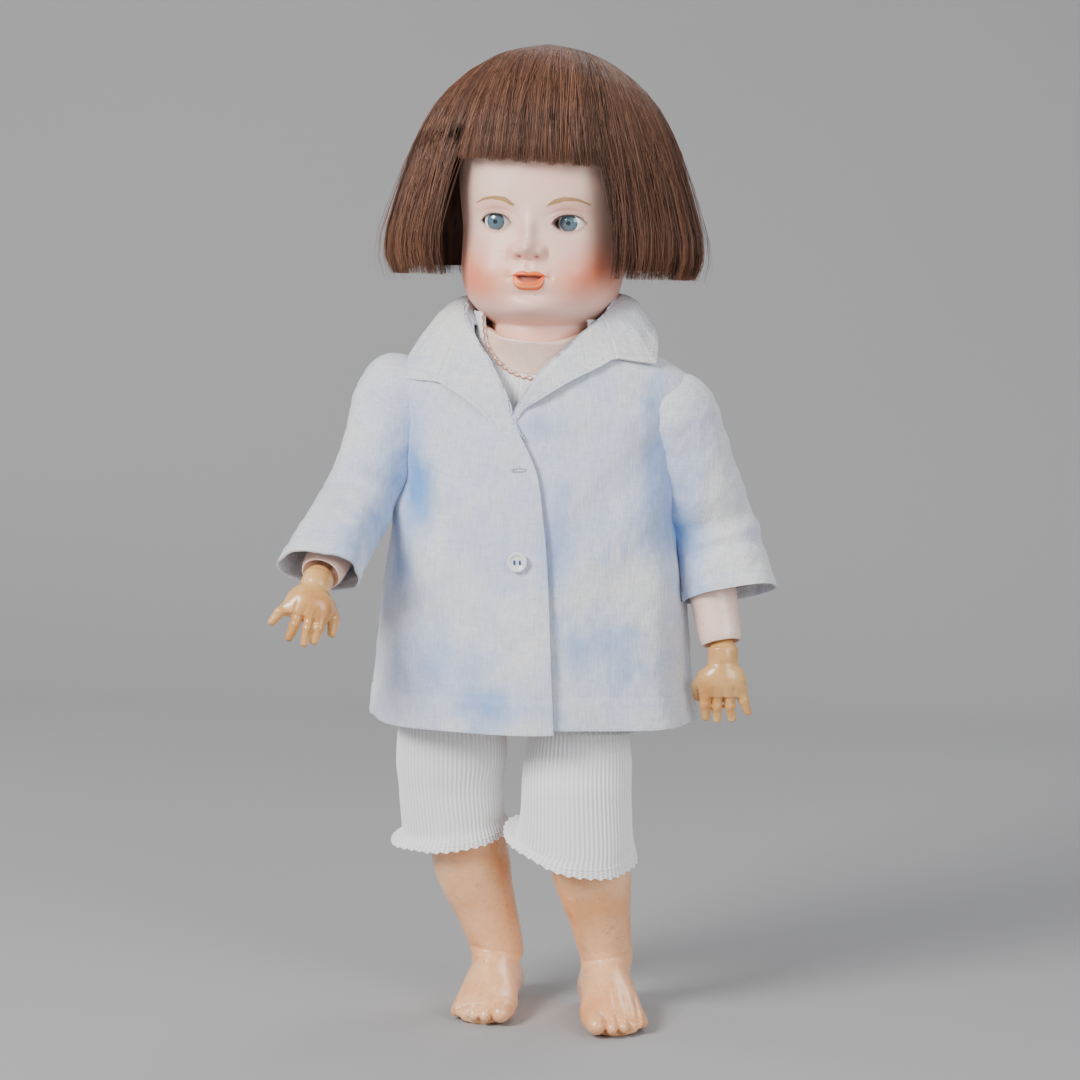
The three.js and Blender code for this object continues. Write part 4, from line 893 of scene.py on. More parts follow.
def bisque_paint():
    """Unglazed china: a pale flesh tint with the face painted on by the values set above."""
    p = Paint("bisque", roughness=0.42, scatter=0.16, coat=0.05, coat_roughness=0.35)
    base = p.mix(p.ramp(p.noise(40, 2), 0.35, 0.65), (249, 211, 194), (246, 200, 180))
    blush = p.math("MULTIPLY", p.value_of("cheek"), p.ramp(p.noise(11, 4, 0.6), 0.2, 0.8, 0.8, 1.0))
    colour = p.mix(p.math("MINIMUM", p.math("MULTIPLY", blush, 0.95), 0.9), base, (243, 128, 86))
    lip_colour = p.mix(p.noise(3, 2), (244, 98, 30), (250, 124, 52))
    # painted highlight on the lower lip
    painted_lip_highlight = p.ramp(p.value_of("lip_shade_and_highlight"), -0.2, -0.9, 0.0, 0.7)
    for amount, tint in (
            (p.math("MULTIPLY", p.value_of("nostril"), 0.8), (170, 84, 52)),
            # painted shade in the lines from the mouth's corners and round the nose's wings
            (p.math("MULTIPLY", p.value_of("crease"), 0.6), (176, 108, 78)),
            (p.value_of("lips"), lip_colour),
            # painted shade along the lips' edges
            (p.math("MULTIPLY", p.value_of("lip_shade_and_highlight"), 0.6), (204, 74, 24)),
            (painted_lip_highlight, (255, 176, 118)),
            (p.math("MULTIPLY", p.value_of("lash_line"), 0.95), (50, 33, 26)),
            # painted shade on the walls inside the eye and mouth openings
            (p.value_of("dark"), (52, 24, 18)),
            (p.value_of("tongue"), (176, 98, 78)),
            (p.math("MULTIPLY", p.ramp(p.spots(13), 0.05, 0.03), 0.45), (110, 80, 66))):
        colour = p.mix(amount, colour, tint)
    p.put("Base Color", colour)
    p.bump(p.noise(1.4, 3), 0.05, 0.1)
    return p


def make_head():
    hollow = hollow_rings()
    rings = np.concatenate([hollow, face_rings()[1:]])
    m, n = rings.shape[:2]
    j = np.arange(n)
    rim = np.stack([(m - 1) * n + j, (m - 1) * n + (j + 1) % n, (j + 1) % n, j], -1)
    flat = rings.reshape(-1, 3)
    obj = new_mesh("head_bisque", on_head(flat), np.concatenate([grid_faces(m, n, True), rim]))
    tidy_normals(obj)
    x, y, h = flat.T
    outside = np.repeat(np.arange(m) >= len(hollow), n)
    set_face_values(obj, x, h, outside & (y < 5))
    fit(obj, bisque_paint(), "head", "head")


make_head()


def strokes(name, lines, widths, lift=0.05):
    """Painted strokes: tapered ribbons that lie on the face. A line is a list of (x, z)."""
    points = []
    faces = []
    for line, width in zip(lines, widths):
        line = np.asarray(line, float)
        way = np.gradient(line, axis=0)
        way /= np.linalg.norm(way, axis=1, keepdims=True)
        side = np.stack([-way[:, 1], way[:, 0]], -1)
        taper = np.sin(np.linspace(0.25, math.pi - 0.12, len(line)))[:, None] * width / 2
        start = len(points)
        for k, (a, b) in enumerate(zip(line + side * taper, line - side * taper)):
            for x, z in (a, b):
                points.append([x, float(face_y(x, z)) - lift, z])
            if k:
                q = start + 2 * k
                faces.append([q - 2, q - 1, q + 1, q])
    return new_mesh(name, on_head(points), faces)


BROW_SHARE = (0, 0.1, 0.22, 0.4, 0.6, 0.8, 1)  # along a brow from its inner end
BROW_Z = (58.6, 59.9, 61.4, 62.7, 62.9, 61.9, 59.8)


BROW_HAIRS = 70
BROW_IN, BROW_LONG = 8.4, 23.8  # where a brow starts, from the middle of the face, and its length
# Each row of lashes: which way it points, how many, how far from the lid, how long, how wide
LASHES = {"upper_lashes_": (1, 24, 1.15, 0.75, 0.3), "lower_lashes_": (-1, 15, 0.8, 1.2, 0.36)}


def two_tone(name, dark, light, size_mm=3):
    p = Paint(name, roughness=0.5)
    p.put("Base Color", p.mix(p.noise(size_mm, 3), dark, light))
    return p


def brow_lines(sign, rng):
    lines = []
    for k in range(BROW_HAIRS):
        t0 = k / (BROW_HAIRS - 1) * 0.8
        t = np.linspace(t0, min(1, t0 + 0.22), 8)
        arch = np.interp(t, BROW_SHARE, BROW_Z)
        thick = np.interp(t0 + 0.1, (0, 0.2, 0.45, 0.75, 1), (0.35, 1.15, 1.0, 0.6, 0.15))
        off = thick * rng.uniform(-1, 1)
        across = sign * (BROW_IN + BROW_LONG * t)
        lines.append(np.stack([across, arch + off + np.linspace(-0.2, 0.2, len(t))], -1))
    return lines


def lash_lines(sign, up, count, away, length):
    lines = []
    ts = np.linspace(0, 1, 4)
    for k in range(count):
        t = -0.88 + 1.76 * k / (count - 1)
        ax = EYE_X + EYE_WIDE * t
        upper, lower = eye_edges(np.array(ax))
        z0 = EYE_OPEN_Z + float(upper if up > 0 else lower) + up * away
        lines.append(np.stack([sign * (ax + 0.6 * t * ts * length), z0 + up * length * ts], -1))
    return lines


def make_painted_lines():
    rng = np.random.default_rng(5)
    brow_paint = two_tone("brow_paint", (170, 126, 78), (192, 152, 104))
    lash_paints = {"upper_lashes_": two_tone("lash_paint", (92, 66, 46), (124, 92, 62), 2),
                   "lower_lashes_": two_tone("lower_lash_paint", (196, 150, 70), (214, 174, 96), 2)}
    for side in "rl":
        brow = strokes("brow_" + side, brow_lines(SIGN[side], rng), [0.5] * BROW_HAIRS)
        fit(brow, brow_paint, "head")
        for name, (up, count, away, length, width) in LASHES.items():
            lines = lash_lines(SIGN[side], up, count, away, length)
            fit(strokes(name + side, lines, [width] * count), lash_paints[name], "head")


make_painted_lines()


IRIS_R = 5.0
# For each eye: how far it looks aside and down, in degrees, and where the painted shadow on the ball's side
# towards the doll's right starts and is full
EYES = {"r": (-4.5, 6.0, (-6.6, -7.3)), "l": (-1.0, 6.0, (-4.3, -6.4))}


def eye_paint(side):
    """White glass, and an iris of blue-grey threads round a dark pupil, with a painted shadow on the ball's
    side towards the doll's right.
    """
    p = Paint("eye_glass_" + side, roughness=0.06, specular=0.6, coat=1.0, coat_roughness=0.02)
    threads = p.nodes.new("ShaderNodeTexWave")
    threads.inputs["Scale"].default_value = 5.0
    threads.inputs["Distortion"].default_value = 5.0
    combine = p.nodes.new("ShaderNodeCombineXYZ")
    p.links.new(p.value_of("round"), combine.inputs["X"])
    p.links.new(p.math("MULTIPLY", p.value_of("from_pupil"), 0.3), combine.inputs["Y"])
    p.links.new(combine.outputs["Vector"], threads.inputs["Vector"])
    out = p.value_of("from_pupil")
    colour = p.mix(threads.outputs["Fac"], (58, 82, 96), (102, 128, 140))
    colour = p.mix(p.ramp(out, 0.84, 0.97), colour, (46, 58, 68))
    colour = p.mix(p.ramp(out, 0.3, 0.2), colour, (24, 32, 40))
    colour = p.mix(p.ramp(out, 0.97, 1.03), colour, (244, 244, 242))
    # painted shadow: the ball darkens towards the doll's right, for the hollow between lid and ball
    p.put("Base Color", p.mix(p.value_of("shade"), colour, (34, 22, 17)))
    return p


def make_eye(side):
    """A glass eye: a white ball with a slightly raised cornea."""
    gaze, dip, shade = EYES[side]
    lat = np.concatenate([np.linspace(0, 0.62, 40), np.linspace(0.65, math.pi, 36)])
    la, lo = np.meshgrid(lat, circle(64), indexing="ij")
    from_pupil = la * EYE_R / IRIS_R
    r = EYE_R + 0.5 * bump(from_pupil, 0.85)
    p = np.stack([r * np.sin(la) * np.cos(lo), -r * np.cos(la), r * np.sin(la) * np.sin(lo)], -1)
    centre = np.array([SIGN[side] * EYE_X, EYE_Y, EYE_Z])
    ball = p @ (turn("Z", gaze) @ turn("X", dip)).T + centre
    obj = grid_mesh("glass_eye_" + side, on_head(ball))
    set_values(obj, "from_pupil", from_pupil)
    set_values(obj, "round", lo)
    # where the painted shadow lies on the ball
    set_values(obj, "shade", smooth(*shade, ball[..., 0] - centre[0]))
    fit(obj, eye_paint(side), "eyes", "eye_" + side)


for side in "rl":
    make_eye(side)


def make_mouth():
    """Behind the open lips: a dark hollow with a moulded tongue."""
    low, high = [-9, -40, 13], [9, -31, 25]

    def field(p):
        x, y, z = p[..., 0], p[..., 1], p[..., 2]
        back = np.maximum(np.abs(y + 35.4) - 1.2, np.maximum(np.abs(x) - 7.8, np.abs(z - 19.2) - 4.4))
        tongue = ellipsoid(p, np.array([0.4, -37.2, 17.4]), (6.0, 2.4, 2.1))
        return blend_min(back, tongue, 0.8)

    points, faces = surface_nets(field, low, high, 0.45)
    obj = new_mesh("mouth_inside", on_head(relax(points, faces, 2)), faces)
    tidy_normals(obj)
    set_values(obj, "tongue", smooth(-36.4, -37.6, points[:, 1]))
    paint = Paint("mouth_paint", roughness=0.45)
    paint.put("Base Color", paint.mix(paint.value_of("tongue"), (62, 26, 20), (196, 116, 96)))
    paint.bump(paint.noise(1.2, 2), 0.1, 0.1)
    fit(obj, paint, "head", "mouth_lining")


make_mouth()


# Wig: rows of height, half width, front depth, back depth
WIG = [
    [20, 84, 50, 76], [28, 87.2, 55, 79.2], [40, 87.8, 57.4, 80.4], [58, 84.6, 58.4, 78.4],
    [78, 79.4, 58.2, 75], [96, 73, 56.2, 70.4], [112, 65, 51, 63.6], [126, 53.6, 43, 54], [138, 38, 31, 39.6],
    [146, 20, 17, 22], [149.4, 2, 2, 2.5],
]
FRINGE_Z = 82.4
FRINGE_RISE = 0.4  # how much higher the fringe is cut at its ends
FRINGE_TILT = 3.2  # how much lower it hangs towards the doll's left, for a radian
HEM_Z = 21.0
LOCKS = (math.radians(36), math.radians(32))  # where the side hair begins, on the doll's right and left
CROWN_BACK = 24.0  # how far behind the middle the strands part
LIFT = 3.0  # the strands' room under the outline
WISP_LOW = 12.0  # no loose hair hangs lower than this
WIG_TOP, WIG_LOW = 149.4, 20.0
PART_Z = 96.0  # the strands are slid backwards above this
THIN = 0.3  # the least half width of the wig's outline
LONG_BELOW = 50.0  # hair that ends lower than this belongs to the sides and back


def wig_point(z, angle, off):
    a, f, b = station(WIG, z)
    s, c = np.sin(angle), np.cos(angle)
    deep = b + (f - b) * smooth(-0.35, 0.35, c)
    x = np.maximum(a + off, THIN) * s
    y = -np.maximum(deep + off, THIN) * c
    return np.stack([x, y, z + 0 * x], -1)


def crown_back(p):
    """Slides the top of the wig's strands backwards over its own surface."""
    x, y, z = p[..., 0], p[..., 1], p[..., 2]

    def spread(x, y, height, size=1.0):
        """How far out a place lies, as a share of the wig's outline at a height."""
        a, f, b = station(WIG, height)
        return np.hypot(x / np.maximum(a * size, THIN), y / np.maximum(np.where(y < 0, f, b) * size, THIN))

    size = spread(x, y, z)
    y = y + CROWN_BACK * smooth(PART_Z, WIG_TOP, z) * (0.35 + 0.65 * smooth(0, 1, 1 - np.abs(x) / 60))
    low, high = np.full(z.shape, 80.0), np.full(z.shape, WIG_TOP)
    for _ in range(22):
        middle = (low + high) / 2
        inside = spread(x, y, middle, size) < 1
        low, high = np.where(inside, middle, low), np.where(inside, high, middle)
    return np.stack([x, y, np.where(z > PART_Z, low, z)], -1)


def from_front(angle):
    """An angle as turned from the front, the doll's right below zero."""
    return (np.asarray(angle) + math.pi) % (2 * math.pi) - math.pi


def along_hair(t, end_z):
    """Height at a share t of the way from the crown to the end."""
    steps = np.linspace(WIG_TOP, WIG_LOW, 240)
    a, _, _ = station(WIG, steps)
    length = np.concatenate([[0], np.cumsum(np.hypot(np.diff(a), np.diff(steps)))])
    reach = np.interp(-end_z, -steps, length)
    return np.interp(t * reach, length, steps)


def hair_end(angle):
    """Height where the hair ends: the fringe in front, the hem elsewhere."""
    turned = from_front(angle)
    lock = np.where(turned < 0, LOCKS[0], LOCKS[1])
    hem = HEM_Z + 1.0 * np.sin(5 * angle) + 1.6 * np.sin(13 * angle + 1) + 1.5 * np.sin(31 * angle)
    hem = hem + 0.9 * np.sin(67 * angle + 2)
    fringe = FRINGE_Z + FRINGE_RISE * (turned / lock) ** 2 - FRINGE_TILT * turned
    fringe = fringe + 0.5 * np.sin(29 * angle) + 0.4 * np.sin(71 * angle)
    return np.where(np.abs(turned) < lock, fringe, hem)


CURTAIN_TUCK = 0.16  # how far behind the locks' edges the curtain starts
CAP_END = FRINGE_Z + 6.5
CURTAIN_TOP = FRINGE_Z + 9
CURTAIN_END = HEM_Z + 4


def make_wig_cap():
    """The woven cap under the strands: a closed crown, and a curtain that is open in front."""
    top = np.linspace(0.02, 1, 60)
    ring = circle(240)
    zz = np.broadcast_to(along_hair(top, CAP_END)[:, None], (len(top), len(ring)))
    ang = np.broadcast_to(ring, zz.shape)
    outer = crown_back(wig_point(zz, ang, -LIFT + 0.5 * np.sin(38 * ang) * smooth(0, 0.5, top)[:, None]))
    inner = crown_back(wig_point(zz, ang, -LIFT - 2.2))
    inner[..., 2] -= 0.4
    pieces = [("wig_crown", outer, inner, True)]
    span = np.linspace(LOCKS[1] + CURTAIN_TUCK, 2 * math.pi - LOCKS[0] - CURTAIN_TUCK, 230)
    zz = CURTAIN_TOP + (CURTAIN_END - CURTAIN_TOP) * np.linspace(0, 1, 40)[:, None] + 0 * span
    ang = np.broadcast_to(span, zz.shape)
    outer = wig_point(zz, ang, -LIFT - 0.3 + 0.5 * np.sin(38 * ang))
    inner = wig_point(zz, ang, -LIFT - 4.5)
    pieces.append(("wig_curtain", outer, inner, False))
    for name, outer, inner, closed in pieces:
        obj, _ = shell(name, on_head(outer), on_head(inner), closed)
        fit(obj, HAIR_UNDER, "head", "wig")


def hair_paint(name, dark, light):
    p = Paint(name, roughness=0.48, specular=0.4)
    p.put("Base Color", p.mix(p.value_of("tone"), dark, light))
    p.put("Roughness", p.ramp(p.noise(8, 3), 0.3, 0.7, 0.42, 0.56))
    return p


def under_hair():
    p = Paint("hair_under", roughness=0.5)
    streak = p.noise(2.5, 4, 0.6, (1, 1, 0.06))
    p.put("Base Color", p.mix(p.ramp(streak, 0.35, 0.7), (50, 29, 22), (98, 60, 43)))
    p.bump(streak, 0.6, 0.6)
    return p


HAIR_UNDER = under_hair()
HAIR = hair_paint("hair_strands", (64, 40, 31), (156, 108, 82))


def tubes(name, lines, radii, tones):
    """Many thin three-sided tubes in one mesh. Lines are (strands, points, 3)."""
    count, steps, _ = lines.shape
    way = np.gradient(lines, axis=1)
    way /= np.maximum(np.linalg.norm(way, axis=-1, keepdims=True), 1e-9)
    u = np.cross(way, np.array([0.31, 0.23, 0.92]))  # any direction that no strand keeps to
    u /= np.maximum(np.linalg.norm(u, axis=-1, keepdims=True), 1e-9)
    v = np.cross(way, u)
    taper = np.ones(steps)
    taper[-1] = 0.25
    taper[-2] = 0.8
    rings = []
    for k in range(3):
        a = 2 * math.pi * k / 3
        rings.append(lines + (u * math.cos(a) + v * math.sin(a)) * (radii[:, None] * taper)[..., None])
    points = np.stack(rings, 2)
    base = (np.arange(count) * steps * 3)[:, None, None]
    s = (np.arange(steps - 1) * 3)[None, :, None]
    k = np.arange(3)[None, None, :]
    a = base + s + k
    b = base + s + (k + 1) % 3
    faces = np.stack([a, b, b + 3, a + 3], -1).reshape(-1, 4)
    obj = new_mesh(name, points.reshape(-1, 3), faces)
    set_values(obj, "tone", np.repeat(tones, steps * 3))
    return obj


HAIR_STEPS = 15
STRANDS = 7600
FRINGE_STRANDS = 900
FLYAWAYS = 420


def round_head(angles):
    """Points round the wig, from which neighbouring strands take like values."""
    return np.stack([np.cos(angles) * 60, np.sin(angles) * 60, 0 * angles], -1)


def strands(rng, angles, low_off, high_off, loose, end_jitter, spread=0.05):
    """Lines from the crown to the hair's end, one for each angle, and how far along each point is."""
    count = len(angles)
    t = np.linspace(0.015, 1, HAIR_STEPS)
    share = smooth(0, 1, t)
    lock = noise(round_head(angles), 9, 3)
    is_long = hair_end(angles) < LONG_BELOW
    ends = hair_end(angles) + rng.normal(size=count) * end_jitter * 0.33 + 2.0 * lock * is_long
    ends = np.clip(ends, WISP_LOW, None)
    off = rng.uniform(low_off, high_off, count) + 0.9 * lock
    drift = 1.5 * spread * rng.normal(size=count) + 0.05 * lock
    wave = rng.uniform(0, 2 * math.pi, count)[:, None]
    z = np.stack([along_hair(t, e) for e in ends])
    ang = angles[:, None] + drift[:, None] * (1 - share) * 1.5
    ang = ang + 0.012 * np.sin(3 * t * math.pi + wave) * share
    flare = is_long[:, None] * 1.6 * share**6 * (1 + np.sin(wave))
    hang = loose[:, None] * share**2 * (1 + 0.3 * np.sin(2.2 * wave))
    out = off[:, None] * (0.25 + 0.75 * share) + hang
    return crown_back(wig_point(z, ang, out - 0.4 + flare)), share


def wear(name, lines, radii, tones):
    fit(tubes(name, on_head(lines), radii, tones), HAIR, "head")


def make_main_hair(rng):
    count = STRANDS
    angles = rng.uniform(-math.pi, math.pi, count)
    loose = rng.uniform(0, 1, count) ** 4
    jitter = np.where(hair_end(angles) < LONG_BELOW, 8.5, 1.8)
    lines, _ = strands(rng, angles, -LIFT + 0.2, -0.4, loose, jitter)
    ring = round_head(angles)
    tone = 0.36 + 0.34 * noise(ring, 14, 8) + 0.16 * noise(ring, 5, 9) + 0.22 * rng.normal(size=count)
    wear("hair", lines, rng.uniform(0.1, 0.19, count), np.clip(tone, 0, 1))


def make_fringe(rng):
    angles = rng.uniform(-LOCKS[0], LOCKS[1], FRINGE_STRANDS)
    lines, _ = strands(rng, angles, -LIFT - 1.2, -0.6, np.zeros(FRINGE_STRANDS), 1.1, 0.02)
    tone = np.clip(0.4 + 0.25 * rng.normal(size=FRINGE_STRANDS), 0, 1)
    wear("fringe", lines, rng.uniform(0.13, 0.2, FRINGE_STRANDS), tone)


def make_flyaways(rng):
    """Single hairs that stand off the wig and curl at their ends."""
    count = FLYAWAYS
    angles = rng.uniform(0.55, 2 * math.pi - 0.6, count)
    loose = rng.uniform(0.3, 4.2, count) * rng.uniform(0, 1, count)
    lines, share = strands(rng, angles, -0.8, 0.5, loose, 5.0, 0.12)
    curl = rng.uniform(0, 2 * math.pi, count)[:, None]
    way = np.stack([np.cos(curl) * share**4, np.sin(curl) * share**4, -0.6 * share**5 + 0 * curl], -1)
    lines = lines + way * rng.uniform(0.5, 7.5, count)[:, None, None]
    lines[..., 2] = np.maximum(lines[..., 2], WISP_LOW)
    wear("flyaways", lines, np.full(count, 0.085), rng.uniform(0.2, 0.9, count))


def make_hair():
    rng = np.random.default_rng(11)
    make_main_hair(rng)
    make_fringe(rng)
    make_flyaways(rng)


make_wig_cap()
make_hair()


# Limbs

HAND_END = {
    "r": WRIST["r"] + 45 * np.array([-0.142, -0.611, -0.778]),
    "l": WRIST["l"] + 45 * np.array([0.02, -0.14, -0.99]),
}
VIEWER = np.array([math.sin(math.radians(CAMERA_TURN)), -math.cos(math.radians(CAMERA_TURN)), 0.15])
HAND_SHORT = 0.82  # the palm and fingers are this much shorter than they are drawn


def revolve(name, a, b, profile, sides=56, front=(0, -1, 0)):
    """A turned piece along a to b. Each row: distance, half width, half depth."""
    u, v, w = frame_of(a, b, front)
    ring = circle(sides)
    rows = []
    for t, wide, deep in profile:
        rows.append(a + w * t + wide * np.sin(ring)[:, None] * u + deep * np.cos(ring)[:, None] * v)
    return grid_mesh(name, np.array(rows))


# Rows of distance from the elbow, half width, half depth
FOREARM = [
    [7, 10.2, 10.2], [9, 12.4, 12.4], [12, 13.3, 13.2], [20, 13.9, 13.8], [34, 13.5, 13.0],
    [48, 12.9, 11.9], [57, 12.4, 11.4], [62, 11.8, 10.9], [64.6, 11.0, 10.2],
]
FOREARM_BORE = [
    [64.9, 10.5, 9.8], [64.6, 10.1, 9.5], [62, 9.6, 9.2], [58, 5, 5], [40, 3.6, 3.6],
    [18, 3.6, 3.6], [12, 5, 5], [9.6, 7.4, 7.4], [7.6, 9.4, 9.4], [7, 10.2, 10.2],
]


def make_forearm(side):
    """A forearm of painted composition, with an open cup at each end."""
    t = np.concatenate([np.linspace(7, 62, 40), np.linspace(62.4, 64.6, 6)])
    rows = [*zip(t, *station(FOREARM, t)), *FOREARM_BORE]
    obj = revolve("forearm_cast_" + side, ELBOW[side], WRIST[side], rows)
    fit(obj, FOREARM_SKIN, "forearm_" + side, "forearm_" + side)


# Rows of distance along the hand, half width, front depth, back depth, and shifts across and outwards
PALM = [
    [-2, 8.6, 8.6, 8.6, 0, 0], [4.6, 8.6, 8.4, 8.4, 0, 0], [7.4, 8.9, 7.8, 7.8, 0, 0.1],
    [11, 11.6, 8.2, 7.2, 0.3, 0.3], [16, 13.4, 8.4, 6.8, 0.5, 0.4], [21, 13.8, 7.8, 6.2, 0.4, 0.4],
    [26, 13.2, 6.2, 5.2, 0, 0.2], [30, 11.6, 4.6, 4.0, -0.4, 0],
]
# Four fingers and the thumb: root, knuckle and tip, and the radius at each
FINGERS = {
    "r": [
        [(25, 8.4, 0.6), (33, 9.4, -0.6), (41, 9.2, -4.4), 3.5, 3.0, 2.2],
        [(26, 2.8, 0.8), (36, 3.8, -0.2), (45, 4.4, -3.8), 3.5, 3.1, 2.3],
        [(26, -3.4, 0.6), (36, -3.6, -0.2), (44.4, -4.4, -3.6), 3.5, 3.1, 2.3],
        [(23, -9.4, 0.2), (30, -13.6, -0.8), (37, -16.2, -3.8), 3.4, 3.1, 2.4],
        [(13, 9.6, -1.4), (21, 15.0, -3.6), (30, 16.6, -6.4), 4.3, 3.5, 2.7],
    ],
    "l": [
        [(25, 9.4, 0.6), (35, 10.0, -1.0), (44, 9.2, -3.4), 3.5, 3.1, 2.3],
        [(26, 3.0, 0.8), (36, 3.2, -0.8), (45.4, 2.8, -3.0), 3.6, 3.1, 2.3],
        [(26, -3.4, 0.6), (36, -4.2, -0.8), (44.6, -5.4, -3.0), 3.6, 3.1, 2.3],
        [(23, -9.4, 0.2), (32, -11.8, -1.0), (40, -14.4, -2.4), 3.4, 3.0, 2.2],
        [(14, 9.8, -2.4), (22, 13.6, -6.4), (30, 13.2, -10.6), 4.3, 3.6, 2.8],
    ],
}
FINGER_GAPS = (-5.9, -0.3, 5.7)  # places across the hand
WRIST_BALL = 8.1
HAND_REACH = ((-9, 49), (-19, 20), (-15, 10))  # the room that the hand fills, along, across and outwards


def finger_marks(d, q, finger):
    """A nail's groove, and the crease over a knuckle."""
    a, m, b = (np.array(x, float) for x in finger[:3])
    rm, rb = finger[4:]
    way = unit(b - m)
    up = unit(np.array([0, 0, 1.0]) - way * way[2])
    nail = b + way * rb * 0.35 + up * rb * 0.78
    groove = np.abs(np.linalg.norm((q - nail) * np.array([0.8, 1.15, 1]), axis=-1) - rb * 0.72)
    d = d + 0.28 * bump(groove, 0.28) * (np.abs((q - nail) @ up) < 1.2)
    crease = np.abs((q - m) @ unit(b - a))
    back = smooth(-0.5, 1.5, (q - m) @ up)
    near = np.linalg.norm(q - m, axis=-1) < rm + 1.6
    return d + 0.16 * bump(crease, 0.35) * back * near


def make_hand(side):
    """A plump carved hand with the back turned to the viewer and four parted fingers."""
    wrist = WRIST[side]
    u, v, w = frame_of(wrist, HAND_END[side], VIEWER)
    thumb = -u if u[0] * SIGN[side] > 0 else u
    axes = np.stack([w, thumb, v])
    along, across, outwards = np.eye(3)

    def field(p):
        q = (p - wrist) @ axes.T
        q[..., 0] = np.where(q[..., 0] > 8, 8 + (q[..., 0] - 8) / HAND_SHORT, q[..., 0])
        d = tube(q, np.zeros(3), across, outwards, along, PALM)
        for a, m, b, ra, rm, rb in FINGERS[side]:
            f = blend_min(capsule(q, a, m, ra, rm), capsule(q, m, b, rm, rb), 0.5)
            knuckle = np.linalg.norm(q - np.array(m) - np.array([0, 0, 0.3]), axis=-1) - rm - 0.15
            d = blend_min(d, blend_min(f, knuckle, 0.8), 1.5)
        web = capsule(q, (16, 6, -1), (20, 11.5, -3), 5.2, 3.6)
        d = blend_min(d, web, 2.5)
        for finger in FINGERS[side]:
            d = finger_marks(d, q, finger)
        for k in FINGER_GAPS:
            d = d + 0.5 * bump(q[..., 1] - k, 0.8) * smooth(19, 27, q[..., 0]) * (q[..., 2] > -1)
        return np.minimum(d, np.linalg.norm(q, axis=-1) - WRIST_BALL)

    corners = np.stack(np.meshgrid(*HAND_REACH), -1).reshape(-1, 3)
    reach = wrist + corners @ axes
    step = 0.6
    obj = formed("hand_carved_" + side, field, np.min(reach, 0), np.max(reach, 0), step)
    fit(obj, HAND_SKIN, "hand_" + side, "hand_" + side)


FOOT_TURN = {"r": 2.0, "l": 18.0}
FOOT_LONG = {"r": 1.2, "l": 1.36}  # how much longer each foot is in front of its ankle than it is drawn
CALF_BOW = {"r": 4.0, "l": 0.0}  # how far the calf bows out
ANKLE_CREASE_Z = 33.5


# Rows as the palm's, from the knee down; the last number counts how much of the calf's bow a row has
CALF = [
    [8.6, 15, 15, 15, 0], [13, 19.4, 19.2, 19.2, 0.3], [22, 22.4, 21, 23, 0.6], [36, 22.4, 20.4, 23.8, 1],
    [50, 20.8, 18.6, 21.8, 1], [64, 18.3, 16.6, 18.4, 0.7], [76, 16.8, 16, 16.6, 0.5], [98, 15, 15, 15, 0.4],
]
# Rows of distance in front of the ankle, half width, height above and below the middle, shift, and how high
# the middle is
SOLE = [
    [-24, 5, 6, 6, 0, 11], [-19, 11.4, 11, 9.4, 0, 11], [-10, 14, 20, 12.6, 0, 12],
    [0, 14.9, 25, 13.6, 0, 12.6], [10, 15.6, 22, 13.4, 0, 12.4], [24, 16.9, 15, 12.4, 0.6, 11.4],
    [33, 17.8, 10.4, 10.6, 1.0, 9.6], [40, 17.2, 7.6, 8.8, 0.6, 8.2], [44.5, 14.5, 5.4, 6.6, 0, 6.8],
]
# From the big toe out: root, middle and tip, and the radius at each
TOES = [
    [(31, 12.0, 8.6), (39, 12.6, 8.0), (44.6, 12.0, 7.4), 6.8, 6.4, 5.8],
    [(34, 3.6, 8.8), (41, 3.8, 8.0), (46.4, 3.6, 6.2), 4.7, 4.5, 4.2],
    [(33, -3.2, 8.4), (39.4, -3.4, 7.6), (44.4, -3.4, 5.8), 4.6, 4.4, 4.0],
    [(30, -9.2, 8.0), (36, -9.8, 7.0), (41.0, -9.8, 5.4), 4.5, 4.2, 3.8],
    [(26, -13.6, 7.2), (32, -14.8, 6.2), (36.6, -15.2, 5.0), 4.2, 4.0, 3.6],
]
TOE_GAPS = (6.8, 0.2, -6.4, -12.2)  # places across the foot
KNEE_SEAT = 15.9
SHIN_BORE_R, SHIN_BORE_DEEP = 4.6, 36


def foot_marks(d, q):
    """The gaps between the toes, their nails, the crease over the ankle, and the hollows beside the heel."""
    x, y, z = q[..., 0], q[..., 1], q[..., 2]
    for sideways in TOE_GAPS:
        gap = y - sideways - 0.02 * (x - 30)
        d = d + 0.75 * bump(gap, 0.75) * smooth(25, 33, x) * (z > 2)
    for _, _, b, _, _, rb in TOES:
        nail = np.array(b, float) + np.array([rb * 0.42, 0, rb * 0.66])
        off = (q - nail) * np.array([1.0, 1.0, 0.7])
        ringed = np.linalg.norm(off, axis=-1) - rb * 0.56
        d = d + 0.3 * bump(ringed, 0.3) * (z > b[2])
    crease = z - ANKLE_CREASE_Z + 0.16 * y + 0.25 * np.maximum(0, 12 - x)
    d = d + 0.7 * bump(crease, 1.3) * smooth(2, 9, x)
    return d + 1.2 * bump(x + 8, 7) * bump(z - 27, 7) * smooth(8, 14, np.abs(y))


